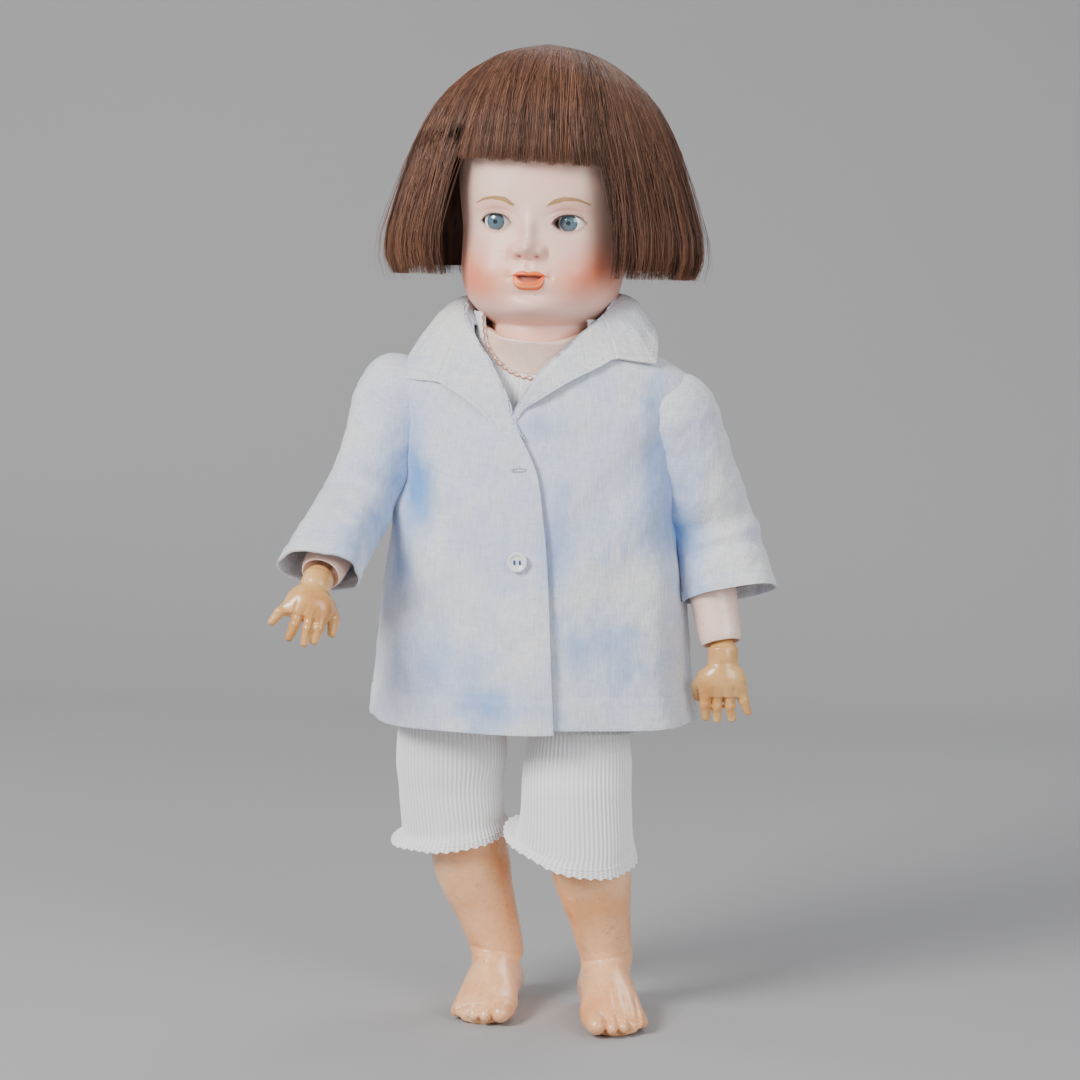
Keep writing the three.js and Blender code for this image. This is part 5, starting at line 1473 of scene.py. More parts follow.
def make_leg(side):
    """A lower leg and bare foot in one casting: round calf, creased ankle, five toes with nails."""
    knee, ankle = KNEE[side], ANKLE[side]
    u, v, w = frame_of(knee, ankle)
    turned = math.radians(FOOT_TURN[side])
    aim = np.array([math.sin(turned), -math.cos(turned), 0])
    left = np.array([-aim[1], aim[0], 0])
    axes = np.stack([aim, left if side == "r" else -left, np.array([0, 0, 1.0])])
    base = np.array([ankle[0], ankle[1], 0])
    calf = [[*row, -CALF_BOW[side] * share, 0] for *row, share in CALF]

    def field(p):
        q = (p - base) @ axes.T
        q[..., 0] = np.where(q[..., 0] > 6, 6 + (q[..., 0] - 6) / FOOT_LONG[side], q[..., 0])
        d = blend_min(tube(p, knee, u, v, w, calf), tube(q, np.zeros(3), *np.eye(3)[[1, 2, 0]], SOLE), 5.0)
        for a, m, b, ra, rm, rb in TOES:
            toe = blend_min(capsule(q, a, m, ra, rm), capsule(q, m, b, rm, rb), 0.6)
            d = blend_min(d, toe, 1.1)
        heel = ellipsoid(q, np.array([-14, 0, 12.5]), (9.5, 12.4, 12.6))
        d = foot_marks(blend_min(d, heel, 3.0), q)
        d = np.maximum(d, KNEE_SEAT - np.linalg.norm(p - knee, axis=-1))
        bore = SHIN_BORE_R - np.linalg.norm(np.cross(p - knee, w), axis=-1)
        d = np.maximum(d, np.minimum(bore, SHIN_BORE_DEEP - (p - knee) @ w))
        return np.maximum(d, -p[..., 2])

    low = np.minimum(knee, base) - np.array([34, 72, 0])
    high = np.maximum(knee, base) + np.array([36, 34, 0])
    low[2], high[2] = -1.2, knee[2] + 2
    step = 0.9
    points, faces = surface_nets(field, low, high, step)
    points = relax(points, faces, 2, 0.4)
    points[:, 2] = np.where(points[:, 2] < 0.25, 0.0, points[:, 2])
    obj = new_mesh("leg_cast_" + side, points, faces)
    tidy_normals(obj)
    fit(obj, SKIN, "shin_" + side, "shin_" + side)


for side in "rl":
    make_forearm(side)
    make_hand(side)
    make_leg(side)


# Clothes

# Rows of height, middle across, half width, front depth, back depth
JACKET = [
    [174, 6.4, 93.6, 56, 56.6], [200, 6.2, 90.6, 54.2, 53], [236, 6.6, 88, 51.4, 48.6],
    [274, 7.4, 83, 48.4, 43.8], [314, 9.8, 80, 44, 39.6], [345, 13, 83, 38.6, 36.6],
    [360, 14, 85, 35.5, 35], [371, 14.6, 81.6, 34, 34.6], [379, 14.8, 69, 33.6, 34.6],
    [388, 14.4, 52, 34.6, 36], [397, 13.4, 39.5, 37, 39],
]
V_Z = 345.0
HEM = 174.0
JACKET_TOP = 397.0
HEM_FOLD = 16.6  # how far above the hem its stitches run
ARMHOLE_R = 18.5
# Each front edge's place across from the middle of the jacket, by height above the V
OVER_EDGE = [
    [-171, 23.3], [-122, 20.8], [-78, 17.6], [-56, 14.4], [-29, 8.2], [-13, -1], [0, -9.8],
    [14, -16.4], [31, -26.4], [44, -35], [52, -37.4],
]
UNDER_EDGE = [
    [-171, -18], [-25, -17], [-6, -14], [0, -9], [13, -1.9], [26, 6.7], [39.5, 21], [50, 32.5],
    [52, 34.5],
]


def squareness(z):
    """How much squarer than an oval the jacket is at this height."""
    return 0.92 - 0.06 * smooth(300, 360, z)


def jacket_base(z, angle, grow):
    middle, a, front, back = station(JACKET, z)
    s, c = np.sin(angle), np.cos(angle)
    power = squareness(z)
    hang = 1 - smooth(230, 330, z)
    fold = 2.2 * hang * np.sin(7 * angle + 0.9) * (1 - 0.6 * bump(angle, 0.7))
    x = (a + grow + fold) * np.sign(s) * np.abs(s) ** power
    y = -(np.where(c > 0, front, back) + grow + fold) * np.sign(c) * np.abs(c) ** power
    return np.stack([middle + x, y, z - 0.052 * x * smooth(250, 350, z)], -1) + SHIFT


def front_edges(z):
    """Angles of the two front edges: the doll's right front lies over the left one."""
    _, a, _, _ = station(JACKET, z)
    places = [station(table, z - V_Z)[0] / a for table in (OVER_EDGE, UNDER_EDGE)]
    return [np.arcsin(np.sign(x) * np.clip(np.abs(x), 0, 0.97) ** (1 / squareness(z))) for x in places]


def wrinkles(p):
    """Soft creases of worn linen, in mm."""
    q = p - SHIFT
    x, y, z = q[..., 0], q[..., 1], q[..., 2]
    front = smooth(5, -15, y)
    d = 0.9 * noise(q * np.array([1, 1, 0.45]), 46, 21) + 0.42 * noise(q * np.array([1, 1, 0.7]), 17, 22)
    for sign, cx in ((-1, -58), (1, 76)):
        along = (x - cx) * 0.55 * sign + (z - 300) * 0.6
        across = (x - cx) * 0.6 * sign - (z - 300) * 0.55
        d += 1.5 * np.sin(across / 5.2 + 0.8 * sign) * bump(along, 44) * bump(across, 30) * front
    d += 1.2 * np.sin((x + 0.42 * z) / 9.5) * bump(z - 262, 38) * smooth(10, 60, np.abs(x - 8)) * front
    d += 0.8 * np.sin((x * 0.5 + z) / 6.5) * bump(z - 335, 22) * bump(x - 52, 26) * front
    return d


def linen(name):
    """Slubbed linen: fine warp and weft, pale blue with deeper patches that also hold painted shade, faded
    almost white between them.
    """
    p = Paint(name, roughness=0.93, specular=0.2, sheen=0.35)
    # this value holds the linen's faded blue and, on the front, painted shade
    blue_dye_and_shade = p.value_of("blue_dye_and_shade")
    mottled = p.math("ADD", blue_dye_and_shade, p.ramp(p.noise(32, 5, 0.65), 0.2, 0.8, -0.26, 0.26))
    mottled = p.math("ADD", mottled, p.ramp(p.noise(10, 4, 0.6, (1, 1, 0.22)), 0.25, 0.75, -0.13, 0.13))
    colour = p.mix(p.ramp(mottled, 0.02, 0.4), (236, 235, 229), (208, 217, 236))
    colour = p.mix(p.ramp(mottled, 0.34, 1.0), colour, (104, 160, 224))
    colour = p.mix(p.ramp(p.noise(58, 3), 0.46, 0.66, 0, 0.6), colour, (204, 208, 238))
    colour = p.mix(p.ramp(p.noise(44, 4, 0.6), 0.54, 0.7, 0, 0.4), colour, (236, 233, 222))
    warp = p.noise(0.8, 3, 0.6, (1, 1, 0.06))
    weft = p.noise(0.8, 3, 0.6, (0.12, 0.12, 1))
    thread = p.math("ADD", p.math("MULTIPLY", warp, 1.3), p.math("MULTIPLY", weft, 0.7))
    colour = p.mix(p.ramp(thread, 0.72, 1.22, 0.42, 0.0), colour, (150, 162, 190))
    p.put("Base Color", colour)
    p.bump(p.math("ADD", thread, p.math("MULTIPLY", p.noise(3.5, 3), 0.5)), 0.8, 0.4)
    return p


LINEN_PAINT = linen("blue_linen")


# Where the front is painted a deeper blue, which is painted shade in its folds, beside the overlapping front
# and near the arms, over the linen's faded blue: across, up, half width, half height, how much
BLUE_PATCHES = [
    (-54, 310, 11, 30, 0.85), (-63, 258, 9, 16, 0.55), (-38, 205, 28, 19, 0.5), (29, 273, 9, 24, 0.5),
    (84, 314, 10, 33, 0.95), (36, 214, 12, 17, 0.45), (59, 283, 28, 25, 0.3), (-19, 277, 20, 20, 0.18),
    (54, 223, 25, 17, 0.25), (-6, 187, 26, 9, 0.45), (20, 340, 12, 9, 0.3), (78, 358, 8, 12, 0.4),
    (-70, 335, 8, 16, 0.3), (40, 315, 18, 18, 0.2),
]
BACK_PATCHES = [(-30, 300, 30, 40, 0.4), (45, 240, 34, 34, 0.45), (0, 205, 50, 16, 0.3)]


def blue_dye_and_shade_of(p):
    """How blue the cloth is painted at a place: its faded blue, and on the front painted shade."""
    q = p - SHIFT
    x, y, z = q[..., 0], q[..., 1], q[..., 2]
    d = 0.17 + 0.13 * noise(q, 70, 31) + 0.1 * noise(q, 26, 32)
    d = d + 0.05 * noise(q * np.array([1, 1, 0.3]), 9, 33)
    # the front's patches are painted shade laid over the faded blue
    for patches, there in ((BLUE_PATCHES, smooth(20, -10, y)), (BACK_PATCHES, smooth(-10, 20, y))):
        for cx, cz, wx, wz, amount in patches:
            d = d + amount * bump(x - cx, wx) * bump(z - cz, wz) * there
    return np.clip(d, 0, 1)


def stitches(name, line, length, gap, radius, paint, body, off=None):
    """A row of short thread stitches along a line of points."""
    line = np.asarray(line, float)
    seg = np.linalg.norm(np.diff(line, axis=0), axis=1)
    run = np.concatenate([[0], np.cumsum(seg)])
    starts = np.arange(gap, run[-1] - length, length + gap)
    t = starts[:, None] + np.linspace(0, length, 5)[None]
    p = np.stack([np.interp(t, run, line[:, k]) for k in range(3)], -1)
    if off is not None:
        q = np.stack([np.interp(t, run, off[:, k]) for k in range(3)], -1)
        p = p + q * (np.sin(np.linspace(0, math.pi, 5)) * radius * 0.8 - radius * 0.4)[None, :, None]
    fit(tubes(name, p, np.full(len(p), radius), np.full(len(p), 0.5)), paint, body)


def thread_paint(name, colour):
    p = Paint(name, roughness=0.8, sheen=0.2)
    p.put("Base Color", p.mix(p.noise(0.6, 2), tuple(int(c * 0.9) for c in colour), colour))
    return p


PALE_THREAD = thread_paint("pale_thread", (206, 212, 222))


JACKET_MIDDLE = 8.0  # across, the line that its cloth hangs round


def jacket_cloth():
    """The jacket's outer face as a grid, its outward directions, and the rows' heights."""
    z = np.concatenate([[HEM], np.linspace(HEM + 1, JACKET_TOP, 190)])
    t = np.linspace(0, 1, 520)
    over, under = front_edges(z)
    zz = z[:, None] + 0 * t
    angle = under[:, None] + (2 * math.pi + over - under)[:, None] * t
    layered = 1.5 * (1 - smooth(V_Z - 12, V_Z + 2, zz))
    p = jacket_base(zz, angle, layered * (smooth(0.86, 0.93, t) - smooth(0.14, 0.07, t)))
    creases = wrinkles(p)
    middle = np.array([JACKET_MIDDLE, 0, 0]) + SHIFT
    axis = np.stack([middle[0] + 0 * zz, middle[1] + 0 * zz, np.minimum(p[..., 2], 340.0)], -1)
    normal = outward(p, axis)
    p = p + normal * (creases * (0.35 + 0.65 * (1 - smooth(350, 392, zz))))[..., None]
    hem_dip = 2.2 * bump((t - 0.97) * 6, 1) + 1.2 * np.sin(9 * t)
    p[..., 2] -= hem_dip * smooth(HEM + 30, HEM, zz)
    hem_fold = 0.45 * smooth(HEM + 17.5, HEM + 16, zz) * smooth(HEM - 1, HEM + 1, zz)
    front_fold = 0.4 * smooth(0.972, 0.978, t) * (zz < V_Z)
    return p + normal * (hem_fold + front_fold - 0.35 * bump(zz - HEM - 17, 0.8))[..., None], normal, z


def armholes(p):
    """Which cells of the jacket's grid are cut away for the sleeves."""
    middle = (p[:-1, :-1] + p[1:, 1:]) / 2
    gone = np.zeros(middle.shape[:2], bool)
    for side, sign in SIGN.items():
        off = middle - SHOULDER[side] - np.array([sign * 2, 0, -4])
        gone |= (np.hypot(off[..., 1], off[..., 2]) < ARMHOLE_R) & (off[..., 0] * sign > -20)
    return gone


def make_jacket():
    p, normal, z = jacket_cloth()
    obj, _ = shell("jacket_cloth", p, p - normal * LINEN, gone=armholes(p))
    set_values(obj, "blue_dye_and_shade", blue_dye_and_shade_of(points_of(obj)))
    fit(obj, LINEN_PAINT, "torso", "jacket")
    row = int(np.argmin(np.abs(z - HEM - HEM_FOLD)))
    stitches("hem_stitches", p[row], 2.4, 1.4, 0.16, PALE_THREAD, "torso", normal[row])


make_jacket()


CAP_INSIDE = {"r": 12.0, "l": 8.0}  # how far the sleeve's top is tucked into the armhole
# How far each sleeve reaches past the elbow, how much it hangs out, how slim it is, how its cuff droops
SLEEVE = {"r": (62, 0.15, 0.86, 0.55), "l": (36, 1.0, 1.0, 0.1)}
ELBOW_RING = 5.0
CUT_RING = 4.0  # where the sleeve is parted above the elbow
CUFF_FOLD = 0.34  # how far the turned cuff reaches up, in rings


def sleeve_rings(side):
    """Centre, direction, half width and half depth of each ring, as in the solids."""
    shoulder, elbow, wrist = SHOULDER[side], ELBOW[side], WRIST[side]
    sign = SIGN[side]
    out = np.array([sign, 0, 0.0])
    upper = unit(elbow - shoulder)
    fore = unit(wrist - elbow)
    reach, slack, slim, droop = SLEEVE[side]
    cuff = unit(fore + np.array([0, 0, -droop]))

    def at(a, way, d):
        return a + way * d

    return [
        [shoulder + np.array([-sign * CAP_INSIDE[side], 0, -1]), np.array([sign, 0, -0.25]), 19.2, 19],
        [shoulder + np.array([-sign * 1.5, 0, 0]), np.array([sign, 0, -0.6]), 24.2, 22.6],
        [shoulder + np.array([sign * 5, 0, -5.4]), np.array([sign, 0, -1.2]), 26.4, 22.8],
        [at(shoulder, upper, 18) + out * (3.1 + 1.3 * slack), upper, 25 - 3 * (1 - slim), 22.8],
        [at(shoulder, upper, 44) + out * 5 * slack, upper, 25 * slim, 22.5],
        [elbow + out * 7 * slack, unit(upper + fore), 24.6 * slim, 22],
        [at(elbow, fore, reach * 0.5) + out * 9 * slack, fore, 25.6 * slim, 21.4],
        [at(elbow, fore, reach) + out * 10 * slack, cuff, 26.6 * slim, 20.6],
    ]


def sleeve_grid(side):
    """The sleeve's outer face, its outward directions, its centre line and the rows' places along it."""
    rings = sleeve_rings(side)
    last = len(rings) - 1
    s = np.linspace(0, last, 150)
    table = [[k, *c, *unit(d), w, dd] for k, (c, d, w, dd) in enumerate(rings)]
    columns = station(table, s)
    centre = np.stack(columns[0:3], -1)
    way = units(np.stack(columns[3:6], -1))
    wide, deep = columns[6:]
    ahead = np.array([0, -1.0, 0])
    v = units(ahead - way * (way @ ahead)[:, None])
    u = np.cross(v, way)
    a = circle(200)
    s = s[:, None]
    loose = smooth(4, 6.6, s)
    fold = 0.9 * loose * np.sin(3 * a + s * 0.8) + 0.7 * loose * np.sin(5 * a + 1.7 - 0.6 * s)
    gather = 0.12 * bump(s - 1.2, 0.8) * np.sin(22 * a)
    w = wide[:, None] + fold + gather
    d = deep[:, None] + fold + gather
    p = centre[:, None] + u[:, None] * (w * np.sin(a))[..., None] + v[:, None] * (d * np.cos(a))[..., None]
    normal = outward(p, centre[:, None] + 0 * p, True)
    creases = 1.2 * np.sin((s - ELBOW_RING) * 6.5 + 0.9 * np.sin(a)) * bump(s - ELBOW_RING, 0.9)
    creases = creases * smooth(-0.4, 0.8, np.cos(a - 0.6))
    worn = 0.55 * noise(p, 34, 41) + 0.3 * noise(p, 13, 42)
    cuff_at = s[len(s) - 1 - int(CUFF_FOLD / (s[1, 0] - s[0, 0]))]
    cuff = 0.5 * smooth(cuff_at - 0.02, cuff_at + 0.02, s) - 0.4 * bump(s - cuff_at, 0.035)
    p = p + normal * ((worn + creases) * smooth(0.6, 2.2, s) + cuff)[..., None]
    return p, normal, centre, s[:, 0]


def make_sleeve(side):
    p, normal, centre, s = sleeve_grid(side)
    shoulder, elbow = SHOULDER[side], ELBOW[side]
    upper = unit(elbow - shoulder)
    fore = unit(WRIST[side] - elbow)
    cut = int(np.argmin(np.abs(s - CUT_RING)))
    for name, rows, bodies, start, end in (
            ("sleeve_upper_", slice(0, cut + 1), ("shoulder_ball_", "upper_arm_"),
             shoulder + 2 * upper, shoulder + 24 * upper),
            ("sleeve_lower_", slice(cut, len(s)), ("upper_arm_", "elbow_ball_"),
             elbow - 14 * upper, elbow + 14 * fore)):
        obj, _ = shell(name + side, p[rows], (p - normal * LINEN)[rows], True)
        set_values(obj, "blue_dye_and_shade", sleeve_dye_and_shade(points_of(obj), side))
        fit(obj, LINEN_PAINT)
        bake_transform(obj)
        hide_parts("sleeve_" + side)


def sleeve_dye_and_shade(p, side):
    q = p - SHIFT
    x, z = q[..., 0], q[..., 2]
    d = 0.1 + 0.12 * noise(q, 50, 51) + 0.08 * noise(q, 20, 52)
    # painted shade: each sleeve is painted bluer along its inner side, and lower down
    if side == "r":
        inner = (x + 66) + (300 - z) * 0.35
        d = d + 0.6 * bump(inner, 14) * smooth(235, 285, z) + 0.25 * smooth(250, 225, z)
    else:
        inner = x - 90 - (300 - z) * 0.1
        d = d + 0.8 * bump(inner, 12) * bump(z - 288, 34) + 0.3 * bump(z - 232, 14)
    return np.clip(d, 0, 1)


for side in "rl":
    make_sleeve(side)


def jacket_surface(x, z, grow):
    """The jacket's outer face at a place given across and up, in the solids' own frame."""
    middle, a, _, _ = station(JACKET, z)
    off = x - middle
    angle = np.sign(off) * np.arcsin(np.clip((np.abs(off) / a) ** (1 / squareness(z)), 0, 0.985))
    return jacket_base(np.asarray(z, float), angle, grow)


# Collar and lapels, from below the V to the middle of the back: a point on the fold and one on the outer edge
COLLAR_R = [
    [(10.0, -41.6, 333), (8.4, -42.6, 330)], [(3.7, -40.6, 345.2), (-3, -42.0, 336.6)],
    [(-1.5, -38.0, 359.4), (-11, -40.6, 345.4)], [(-10.7, -35.0, 375.9), (-23, -38.4, 355)],
    [(-20.4, -29.0, 389.6), (-36.5, -33.6, 362.6)], [(-28.2, -19.0, 400), (-41.5, -31.0, 364.6)],
    [(-29.5, -15.0, 404), (-53, -24.0, 365.4)], [(-30.2, -10.0, 407.4), (-64.4, -16.6, 366.4)],
    [(-30.0, -2.0, 410.4), (-62.4, -6.0, 381)], [(-27.5, 9.0, 412), (-54, 8.0, 391)],
    [(-18, 24.0, 412.6), (-37, 30.0, 390)], [(-3, 34.0, 412.6), (-13, 44.0, 388)],
    [(13, 37.5, 412.6), (13, 48.0, 387)],
]
COLLAR_L = [
    [(3.9, -39.6, 344.6), (5.6, -40.2, 342.8)], [(12, -39.4, 359), (11, -40.4, 350.4)],
    [(20.3, -37.4, 371.2), (18.6, -40.2, 355.2)],
    [(34.7, -33.4, 384.5), (35, -38.4, 365.2)], [(45, -25.0, 395), (51.2, -34.6, 373.5)],
    [(50, -18.5, 400), (60.6, -30.4, 378)], [(51.6, -15.0, 402.6), (70.5, -25.6, 376.6)],
    [(52.8, -11.0, 405.4), (80.8, -20.4, 375.5)], [(54.2, -3.0, 409.4), (79.6, -8.0, 386)],
    [(54.4, 6.0, 412), (75, 5.0, 394)], [(50.5, 17.0, 413), (66, 20.0, 393)],
    [(40, 29.0, 413), (52, 35.0, 390)], [(27, 36.0, 412.8), (34, 45.0, 388)],
    [(13, 37.5, 412.6), (13, 48.0, 387)],
]
GORGE = 5  # the row on each side where lapel and collar meet
COLLAR_MIDDLE = np.array([13, 0, 385])
COLLAR_THICK = 1.3
NECK_RING = (13.4, 38.0, 35.4, 37.4, 395.0)  # where the collar's stand is sewn on: middle, sizes, height


def collar_rows():
    """Each row's point on the seam, on the fold and on the outer edge, from one lapel's end to the other."""
    parts = []
    middle, a, front, back, height = NECK_RING
    for table in (COLLAR_R, COLLAR_L):
        part = []
        for k, (fold, edge) in enumerate(table):
            fold = np.array(fold, float)
            way = unit([(fold[0] - middle) / a, fold[1] / (front if fold[1] < 0 else back)])
            sewn = np.array([middle + a * way[0], (front if way[1] < 0 else back) * way[1], height])
            lapel = fold + np.array([0, 2.2, -3.0])
            share = float(smooth(GORGE - 1.2, GORGE + 1.5, k))
            part.append([*(lapel * (1 - share) + sewn * share), *fold, *edge])
        parts.append(part)
    return np.array(parts[0] + parts[1][::-1][1:], float)


def collar_lines():
    """Smooth seam, fold and outer edge through the rows, with sharp corners on the edge, and their places."""
    rows = collar_rows()
    last = len(rows) - 1
    key = np.arange(len(rows), dtype=float)
    s = np.unique(np.concatenate([np.linspace(0, last, 560), key]))
    values = np.stack(station(np.column_stack([key, rows]), s), -1)
    plain = np.stack([np.interp(s, key, column) for column in rows.T], -1)
    corners = (GORGE + 2.0, last - GORGE - 2.0)
    sharp = np.maximum(*(bump(s - c, 0.55) for c in corners))[:, None]
    values[:, 6:] = values[:, 6:] * (1 - sharp) + plain[:, 6:] * sharp
    return values[:, :3] + SHIFT, values[:, 3:6] + SHIFT, values[:, 6:] + SHIFT, s, last


def laid_on_jacket(outside, fall):
    """Moves the collar's fall out where it would lie in the jacket."""
    q = outside - SHIFT
    under = jacket_surface(q[..., 0], np.clip(q[..., 2], HEM, JACKET_TOP), 0.0) - SHIFT
    front = smooth(-4, -14, q[..., 1]) * smooth(396, 388, q[..., 2])
    rest = under[..., 1] - 1.7 - 0.5 * np.sin(math.pi * fall)[None]
    q[..., 1] = np.where(q[..., 1] > rest, q[..., 1] * (1 - front) + rest * front, q[..., 1])
    return q + SHIFT


def make_collar():
    """One turned-over band: the lapels below, and above them the collar's stand, roll and fall."""
    sewn, fold, edge, s, last = collar_lines()
    stand = np.linspace(-1, 0, 9)[:-1]
    fall = np.linspace(0, 1, 44)
    inside = sewn[:, None] * -stand[None, :, None] + fold[:, None] * (1 + stand)[None, :, None]
    outside = fold[:, None] * (1 - fall)[None, :, None] + edge[:, None] * fall[None, :, None]
    middle = COLLAR_MIDDLE + SHIFT
    out = units((outside - middle) * np.array([1, 1, 0]))
    back = (smooth(GORGE, GORGE + 4, s) * smooth(last - GORGE, last - GORGE - 4, s))[:, None]
    roll = np.sin(math.pi * fall ** 0.62)[None]
    outside = outside + out * ((1.3 + 3.0 * back) * roll)[..., None]
    outside[..., 2] += (0.9 + 2.4 * back) * roll
    grid = np.concatenate([inside, laid_on_jacket(outside, fall)], 1)
    grid = grid + outward(grid, middle) * (0.35 * noise(grid, 24, 61) + 0.2 * noise(grid, 9, 62))[..., None]
    normal = outward(grid, middle)
    columns = np.concatenate([stand, fall])[None]
    for c, sign in ((GORGE, 1), (last - GORGE, -1)):
        seam = bump(s - c, 0.035)[:, None] * (columns > 0.02)
        step = smooth(c - sign * 0.03, c + sign * 0.03, s)
        lift = 0.55 * step[:, None] * smooth(0, 0.4, columns) * bump(s - c, 1.6)[:, None]
        grid = grid + normal * (lift - 0.5 * seam)[..., None]
    grid = grid + normal * (0.3 * smooth(0.86, 0.88, columns))[..., None]
    obj, used = shell("collar_cloth", grid, grid - normal * COLLAR_THICK)
    blue_dye_and_shade = np.clip(0.5 * blue_dye_and_shade_of(grid) - 0.08, 0, 1)
    # painted shade: the collar's stand behind the neck is painted a deeper blue
    stand_shade_blue = 0.2 + 0.7 * smooth(GORGE + 1, GORGE + 4, s)[:, None]
    blue_dye_and_shade = np.where(columns < 0, stand_shade_blue, blue_dye_and_shade)
    set_values(obj, "blue_dye_and_shade", np.concatenate([blue_dye_and_shade.ravel(), np.full(blue_dye_and_shade.size, 0.2)])[used])
    fit(obj, LINEN_PAINT, "torso", "collar")
    near = len(stand) + int(0.87 * len(fall))
    line = grid[:, near] + normal[:, near] * 0.1
    stitches("collar_stitches", line, 2.2, 1.5, 0.13, PALE_THREAD, "torso", normal[:, near])


make_collar()


# From the middle of its back, round the rim, to the middle of its face: radius and height
BUTTON = [
    [0, 0.9], [2.8, 0.9], [3.4, 1.1], [4.2, 1.75], [4.9, 1.9], [5.4, 1.6], [5.6, 0.9], [5.3, 0.3],
    [4.4, 0.0], [0, 0],
]
BUTTON_AT = (9.2, 266.5)
BUTTONHOLE_AT = (8.7, 316.9)
FRONT_GROW = 2.6  # how far the over-lapping front stands off the plain jacket
BUTTONHOLE_STITCHES = 34


def make_button():
    """A two-hole button sewn on with blue thread."""
    p = jacket_surface(*np.array(BUTTON_AT), FRONT_GROW + LINEN)
    w = unit([0.06, -1.0, 0.08])
    u = unit(np.cross(np.array([0, 0, 1.0]), w))
    v = np.cross(w, u)
    t = np.linspace(0, len(BUTTON) - 1, 60)
    r, h = (np.interp(t, range(len(BUTTON)), column)[:, None, None] for column in zip(*BUTTON))
    ring = circle(64)[:, None]
    obj = grid_mesh("button_disc", p + r * np.cos(ring) * u + r * np.sin(ring) * v + h * w)
    paint = Paint("button_gloss", roughness=0.18, coat=0.6)
    paint.put("Base Color", paint.mix(paint.noise(4, 3), (240, 240, 238), (226, 228, 230)))
    paint.bump(paint.noise(2, 2), 0.05, 0.1)
    fit(obj, paint, "torso", "button")
    tt = np.linspace(-1, 1, 7)[:, None]
    lines = [p + (hole + k) * u + (tt * 1.3) * v + w * (1.0 + 0.7 * (1 - tt ** 2))
             for hole in (-1.5, 1.5) for k in (-0.35, 0.0, 0.35)]
    thread = tubes("button_thread", np.array(lines), np.full(len(lines), 0.28), np.full(len(lines), 0.5))
    fit(thread, thread_paint("blue_thread", (46, 96, 158)), "torso")


def make_buttonhole():
    """A worked buttonhole: a ring of close stitches round a slit."""
    c = jacket_surface(*np.array(BUTTONHOLE_AT), FRONT_GROW)
    tt = np.linspace(0, 1, 5)[:, None]
    lines = []
    for a in circle(BUTTONHOLE_STITCHES):
        way = np.array([math.cos(a), 0, math.sin(a)])
        start = c + way * np.array([3.4, 0, 0.5])
        lines.append(start + way * tt * 1.2 + np.array([0, -0.35, 0]) * np.sin(math.pi * tt))
    hole = tubes("buttonhole", np.array(lines), np.full(len(lines), 0.2), np.full(len(lines), 0.5))
    fit(hole, PALE_THREAD, "torso")


make_button()
make_buttonhole()


# Rows of height above the hips' middle, half width, front depth, back depth
TORSO = [
    [-4, 27, 20, 24], [0, 47.5, 29, 34], [10, 55, 33.4, 37.6], [26, 56.5, 35, 37],
    [50, 49, 36, 33], [80, 46, 36, 31], [120, 49.4, 33.4, 31], [148, 56, 30.8, 31],
    [172, 60, 27, 30], [186, 55, 26, 29], [196, 42, 28, 30], [206, 32.8, 32.4, 32.4],
]


TORSO_SQUARE = 0.88  # below one the torso's rings are squarer than ovals


def torso_ring(z, angle, grow):
    a, front, back = station(TORSO, z)
    s, c = np.sin(angle), np.cos(angle)
    x = (a + grow) * np.sign(s) * np.abs(s) ** TORSO_SQUARE
    y = -(np.where(c > 0, front, back) + grow) * np.sign(c) * np.abs(c) ** TORSO_SQUARE
    return on_torso(x, y, z)


def knit(name):
    """Fine ribbed cotton: ribs are in the mesh, their grooves are painted darker as painted shade, and the
    stitches are in the bump.
    """
    p = Paint(name, roughness=0.95, specular=0.15, sheen=0.3)
    stitch = p.noise(0.8, 2, 0.5, (1, 1, 0.7))
    # painted shade: the grooves between the ribs are painted darker
    colour = p.mix(p.value_of("rib_shade"), (226, 226, 228), (253, 253, 252))
    colour = p.mix(p.ramp(p.noise(30, 3), 0.5, 0.8, 0, 0.3), colour, (240, 238, 232))
    p.put("Base Color", colour)
    p.bump(stitch, 0.5, 0.3)
    return p


KNIT_PAINT = knit("white_knit")


NECKLINE = (13.0, 397.0, 29.5)  # middle across, middle up, radius
NECK_BALL = 32.6  # the round seat that the neck turns in
RIM_RISE = 7.0  # how much higher the lip round the neck is at its sides and back
RIM_LOW, RIM_FRONT = 188, 206  # where the lip starts, and its height in front
SHIRT_TOP = [[196, 44.6, 30.8], [206, 38.4, 34], [213, 36.6, 33.6], [220, 38.6, 33]]
SHIRT_ARM_R = 24  # the undershirt is cut out this far round each shoulder


def make_neck_rim():
    """The top of the chest, rising to a thin lip round the neck."""
    a = circle(160)
    top = RIM_FRONT + RIM_RISE * smooth(-0.1, 1.0, np.sin(a) ** 2 * (np.cos(a) > 0) + (np.cos(a) <= 0))
    share = np.concatenate([np.linspace(0, 0.97, 24), [0.99, 1]])[:, None]
    height = RIM_LOW + (top - RIM_LOW) * share
    outer = torso_ring(height, np.broadcast_to(a, height.shape), -0.5 * smooth(0.95, 1, share))
    off = outer - NECK
    up = off @ SPINE
    drop = np.clip(up, -NECK_BALL + 4, 0)
    across = units(off - up[..., None] * SPINE) * np.sqrt(NECK_BALL**2 - drop**2)[..., None]
    obj, _ = shell("neck_rim", outer, NECK + across + drop[..., None] * SPINE, True)
    fit(obj, BODY_SKIN, "torso")


make_neck_rim()


def shirt_top_share(z):
    """How far the undershirt's strap has taken over from the chest at a height."""
    return smooth(192, 199, z)


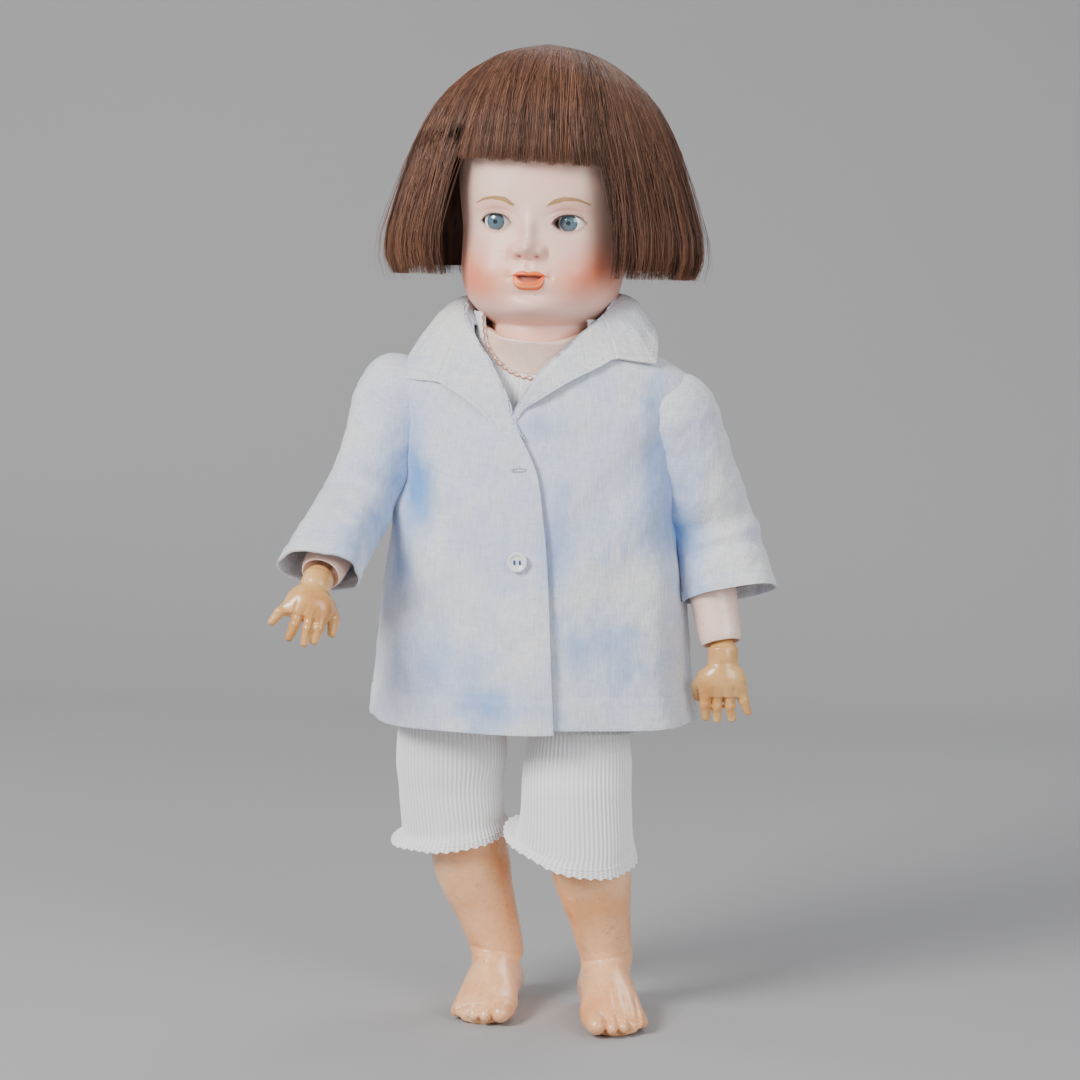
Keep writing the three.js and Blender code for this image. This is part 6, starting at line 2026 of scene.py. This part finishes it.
def make_undershirt():
    zz, aa = np.meshgrid(np.linspace(66, 220, 124), circle(360), indexing="ij")
    grow = 2.6 + 2.5 * smooth(130, 80, zz)
    ribs = np.sin(aa * 150)
    wide, deep = station(SHIRT_TOP, zz)
    high = shirt_top_share(zz)[..., None]
    s, c = np.sin(aa), np.cos(aa)
    p, p0 = (torso_ring(zz, aa, grow - thick) * (1 - high)
             + on_torso((wide - thick) * s, -(deep - thick) * c, zz) * high for thick in (0, KNIT))
    middle = (p + np.roll(p, -1, 1))[:-1] / 2
    across, y, up = np.moveaxis(middle - SHIFT, -1, 0)
    gone = (np.hypot(across - NECKLINE[0], up - NECKLINE[1]) < NECKLINE[2]) & (y < 6)
    for side in "rl":
        gone |= np.linalg.norm(middle - SHOULDER[side], axis=-1) < SHIRT_ARM_R
    obj, used = shell("undershirt_cloth", p + (p - p0) / KNIT * (0.12 * ribs)[..., None], p0, True, gone)
    set_values(obj, "rib_shade", np.concatenate([(0.5 + 0.5 * ribs).ravel()] * 2)[used])
    fit(obj, KNIT_PAINT, "torso", "undershirt")


def on_undershirt(x, z):
    """A point on the front of the undershirt, given across and up."""
    h = z - HIP_HEIGHT
    x = x - HIP_MIDDLE - math.sin(LEAN_ANGLE) * h
    chest, _, _ = station(TORSO, h)
    angle = np.sign(x) * np.arcsin(np.minimum(0.99, np.abs(x) / (chest + 3)) ** (1 / TORSO_SQUARE))
    wide, deep = (v + 0.8 for v in station(SHIRT_TOP, h))
    strap = on_torso(x, -deep * np.sqrt(np.maximum(0.02, 1 - (x / wide) ** 2)), h)
    high = shirt_top_share(h)[..., None]
    return torso_ring(h, angle, 3.4) * (1 - high) + strap * high


def make_neckline():
    """The neckline's crocheted edge: a pink thread in small points."""
    arc = np.linspace(math.radians(166), math.radians(335), 600)
    r = NECKLINE[2] + 0.2 + 1.1 * np.abs(np.sin(arc * 24)) - 0.5
    line = on_undershirt(NECKLINE[0] + r * np.cos(arc), NECKLINE[1] + r * np.sin(arc))
    edge = tubes("neckline_crochet", line[None], np.array([0.42]), np.array([0.5]))
    fit(edge, thread_paint("pink_thread", (232, 138, 98)), "torso")


make_undershirt()
make_neckline()


# Rows of distance along, half width, front, back, and how far the cloth hangs towards the doll's left: those
# along the thigh, then those along the shin, and how much the hem is tilted
DRAWERS_LEG = {
    "r": ([[13, 30.6, 27.6, 29, -2.4], [36, 32, 28, 29.4, -4.4], [54, 30, 25.8, 26.2, -6.4]],
          [[7, 30, 25.4, 26.4, -8.3], [13, 32.4, 27.4, 28.4, -10], [17, 35.5, 29.4, 30.4, -12]], 0.12),
    "l": ([[16, 28.6, 27, 28.6, -0.3], [36, 31, 27.6, 29.2, -1.8], [54, 31.2, 25.8, 26.2, -3]],
          [[8, 33, 25.6, 26.6, -6], [12, 35, 27.4, 28.4, -8], [16.4, 38, 29.4, 30.4, -10]], 0.34),
}
SEAT_RIBS = 104
LEG_RIBS = 74
KNEE_BLEND = 12  # how far each side of the knee two points are set, which nothing uses
SKIRT_ROWS = 25


def make_drawers_seat():
    z = np.linspace(62, 8, 70)
    zz, aa = np.meshgrid(z, circle(520), indexing="ij")
    ribs = np.sin(aa * SEAT_RIBS)
    flare = np.linspace(0, 1, SKIRT_ROWS + 1)[1:, None, None]
    middle = on_torso(0.0, 0.0, z[-1])

    def with_skirt(p):
        """The cloth goes on below the hips, widening to where the legs are sewn on."""
        last = p[-1]
        low = middle + (last - middle) * np.array([1.24, 1.06, 1]) + np.array([0, -2.0, -19])
        return np.concatenate([p, last[None] * (1 - flare) + low[None] * flare])

    outer = with_skirt(torso_ring(zz, aa, 2.6 + 0.16 * ribs))
    inner = with_skirt(torso_ring(zz, aa, 2.6 - KNIT))
    ribs = np.concatenate([ribs, np.repeat(ribs[-1:], SKIRT_ROWS, 0)])
    seat, _ = shell("drawers_seat_cloth", outer, inner, True)
    set_values(seat, "rib_shade", np.concatenate([(0.5 + 0.5 * ribs).ravel()] * 2))
    fit(seat, KNIT_PAINT, "torso", "drawers_seat")


def make_drawers_leg(side):
    """A ribbed leg that falls over the knee and ends in a lacy band with a scalloped edge."""
    hip, knee, ankle = HIP[side], KNEE[side], ANKLE[side]
    thigh_rows, shin_rows, hem_tilt = DRAWERS_LEG[side]
    thigh_axes = frame_of(hip, knee)
    shin_axes = frame_of(knee, ankle)
    rows = []
    for start, (u, v, w), table in ((hip, thigh_axes, thigh_rows), (knee, shin_axes, shin_rows)):
        rows += [[*(start + w * t + u * du), *u, *v, wide, f, b] for t, wide, f, b, du in table]
    s = np.linspace(0, len(rows) - 1, 130)
    columns = np.stack(station([[k, *row] for k, row in enumerate(rows)], s), -1)
    centre, u, v = columns[:, None, 0:3], columns[:, None, 3:6], columns[:, None, 6:9]
    wide, f, b = (columns[:, k, None] for k in (9, 10, 11))
    a = circle(900)
    s = s[:, None]
    ribs = np.sin(a * LEG_RIBS)
    drape = (0.8 * np.sin(4 * a + 0.7) + 0.5 * np.sin(7 * a + 2.1)) * smooth(1.2, 5, s)
    deep = np.where(np.cos(a) > 0, f, b) + drape
    scallop = 1.15 * (np.abs(np.sin(a * LEG_RIBS / 4)) - 0.5) * smooth(4.86, 5.0, s)
    lace = smooth(4.3, 4.5, s)

    def face(grow):
        across, ahead = (wide + drape + grow) * np.sin(a), (deep + grow) * np.cos(a)
        q = centre + u * across[..., None] + v * ahead[..., None]
        fall = hem_tilt * np.clip((s - 2) / 3, 0, 1)
        q[..., 2] -= scallop + fall * (q[..., 0] - centre[..., 0])
        return q

    holes = np.sin(s * 30) * np.sin(a * LEG_RIBS / 2)
    outer = face((0.26 - 0.1 * lace) * ribs + 0.3 * lace * holes + 0.35 * bump(s - 4.3, 0.05))
    obj, _ = shell("drawers_leg_cloth_" + side, outer, face(-KNIT), True)
    set_values(obj, "rib_shade", np.concatenate([(0.5 + 0.5 * ribs + 0 * s).ravel()] * 2))
    fit(obj, KNIT_PAINT)
    start, end = knee - thigh_axes[2] * KNEE_BLEND, knee + shin_axes[2] * KNEE_BLEND
    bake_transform(obj)
    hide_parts("drawers_leg_" + side)


make_drawers_seat()
for side in "rl":
    make_drawers_leg(side)


# Pieces under the clothes keep their solids, rounded and painted

def soften(node, voxel_mm, rounds):
    obj = frame["nodes"][node]
    remesh = obj.modifiers.new("even", "REMESH")
    remesh.mode = "VOXEL"
    remesh.voxel_size = voxel_mm * MM
    remesh.use_smooth_shade = True
    ease = obj.modifiers.new("ease", "SMOOTH")
    ease.factor = 0.5
    ease.iterations = rounds


def paint_hidden():
    plain = {"torso": BODY_SKIN, "neck_button": WOOD, "neck_hook": WIRE, "pate": CARD, "eye_rocker": WIRE,
             "eye_weight": LEAD}
    for s in "rl":
        plain.update({"upper_arm_" + s: BODY_SKIN, "thigh_" + s: BODY_SKIN, "shoulder_ball_" + s: BALL_SKIN,
                      "elbow_ball_" + s: BALL_SKIN, "hip_ball_" + s: BALL_SKIN, "knee_ball_" + s: BALL_SKIN,
                      "hand_hook_" + s: WIRE, "shin_pin_" + s: WIRE})
    for node, paint in plain.items():
        repaint(frame["nodes"][node], paint)
    soften("torso", 1.4, 8)
    for s in "rl":
        soften("upper_arm_" + s, 1.0, 6)
        soften("thigh_" + s, 1.2, 6)


paint_hidden()


ELASTIC_R = 1.4
PIN_BELOW_KNEE = 31.6
HOOK_Z = 162.2  # above the hips' middle, where the leg elastics hang from the neck's hook


def elastic_routes():
    """The stringing's routes: through both arms, and from each shin's pin up to the neck hook."""
    hooked = {s: WRIST[s] + 0.8 * unit(ELBOW[s] - WRIST[s]) for s in "rl"}
    inside = {s: on_torso(30.0 * SIGN[s], -7.0, 172.0) for s in "rl"}
    routes = {"arm_elastic": [hooked["r"], ELBOW["r"], SHOULDER["r"], inside["r"],
                              inside["l"], SHOULDER["l"], ELBOW["l"], hooked["l"]]}
    for s in "rl":
        pin = KNEE[s] + PIN_BELOW_KNEE * unit(ANKLE[s] - KNEE[s])
        fork = on_torso(22.0 * SIGN[s], 0.0, 44.0)
        top = on_torso(2.4 * SIGN[s], 0.0, HOOK_Z)
        routes["leg_elastic_" + s] = [pin, KNEE[s], HIP[s], fork, top]
    return routes


def make_elastic(node, route):
    """A cord along a route whose corners are eased."""
    route = np.array(route)
    run = np.concatenate([[0], np.cumsum(np.linalg.norm(np.diff(route, axis=0), axis=1))])
    t = np.linspace(0, run[-1], 140)
    line = np.stack([np.interp(t, run, route[:, k]) for k in range(3)], -1)
    for _ in range(3):
        line[1:-1] = (line[:-2] + 2 * line[1:-1] + line[2:]) / 4
    way = units(np.gradient(line, axis=0))
    u = units(np.cross(way, np.array([0, 1.0, 0.2])))
    v = np.cross(way, u)
    a = circle(10)[:, None]
    ring = u[:, None] * np.cos(a) + v[:, None] * np.sin(a)
    obj = grid_mesh(node + "_cord", line[:, None] + ELASTIC_R * ring)
    fit(obj, ELASTIC, "torso", node)


for node, route in elastic_routes().items():
    make_elastic(node, route)
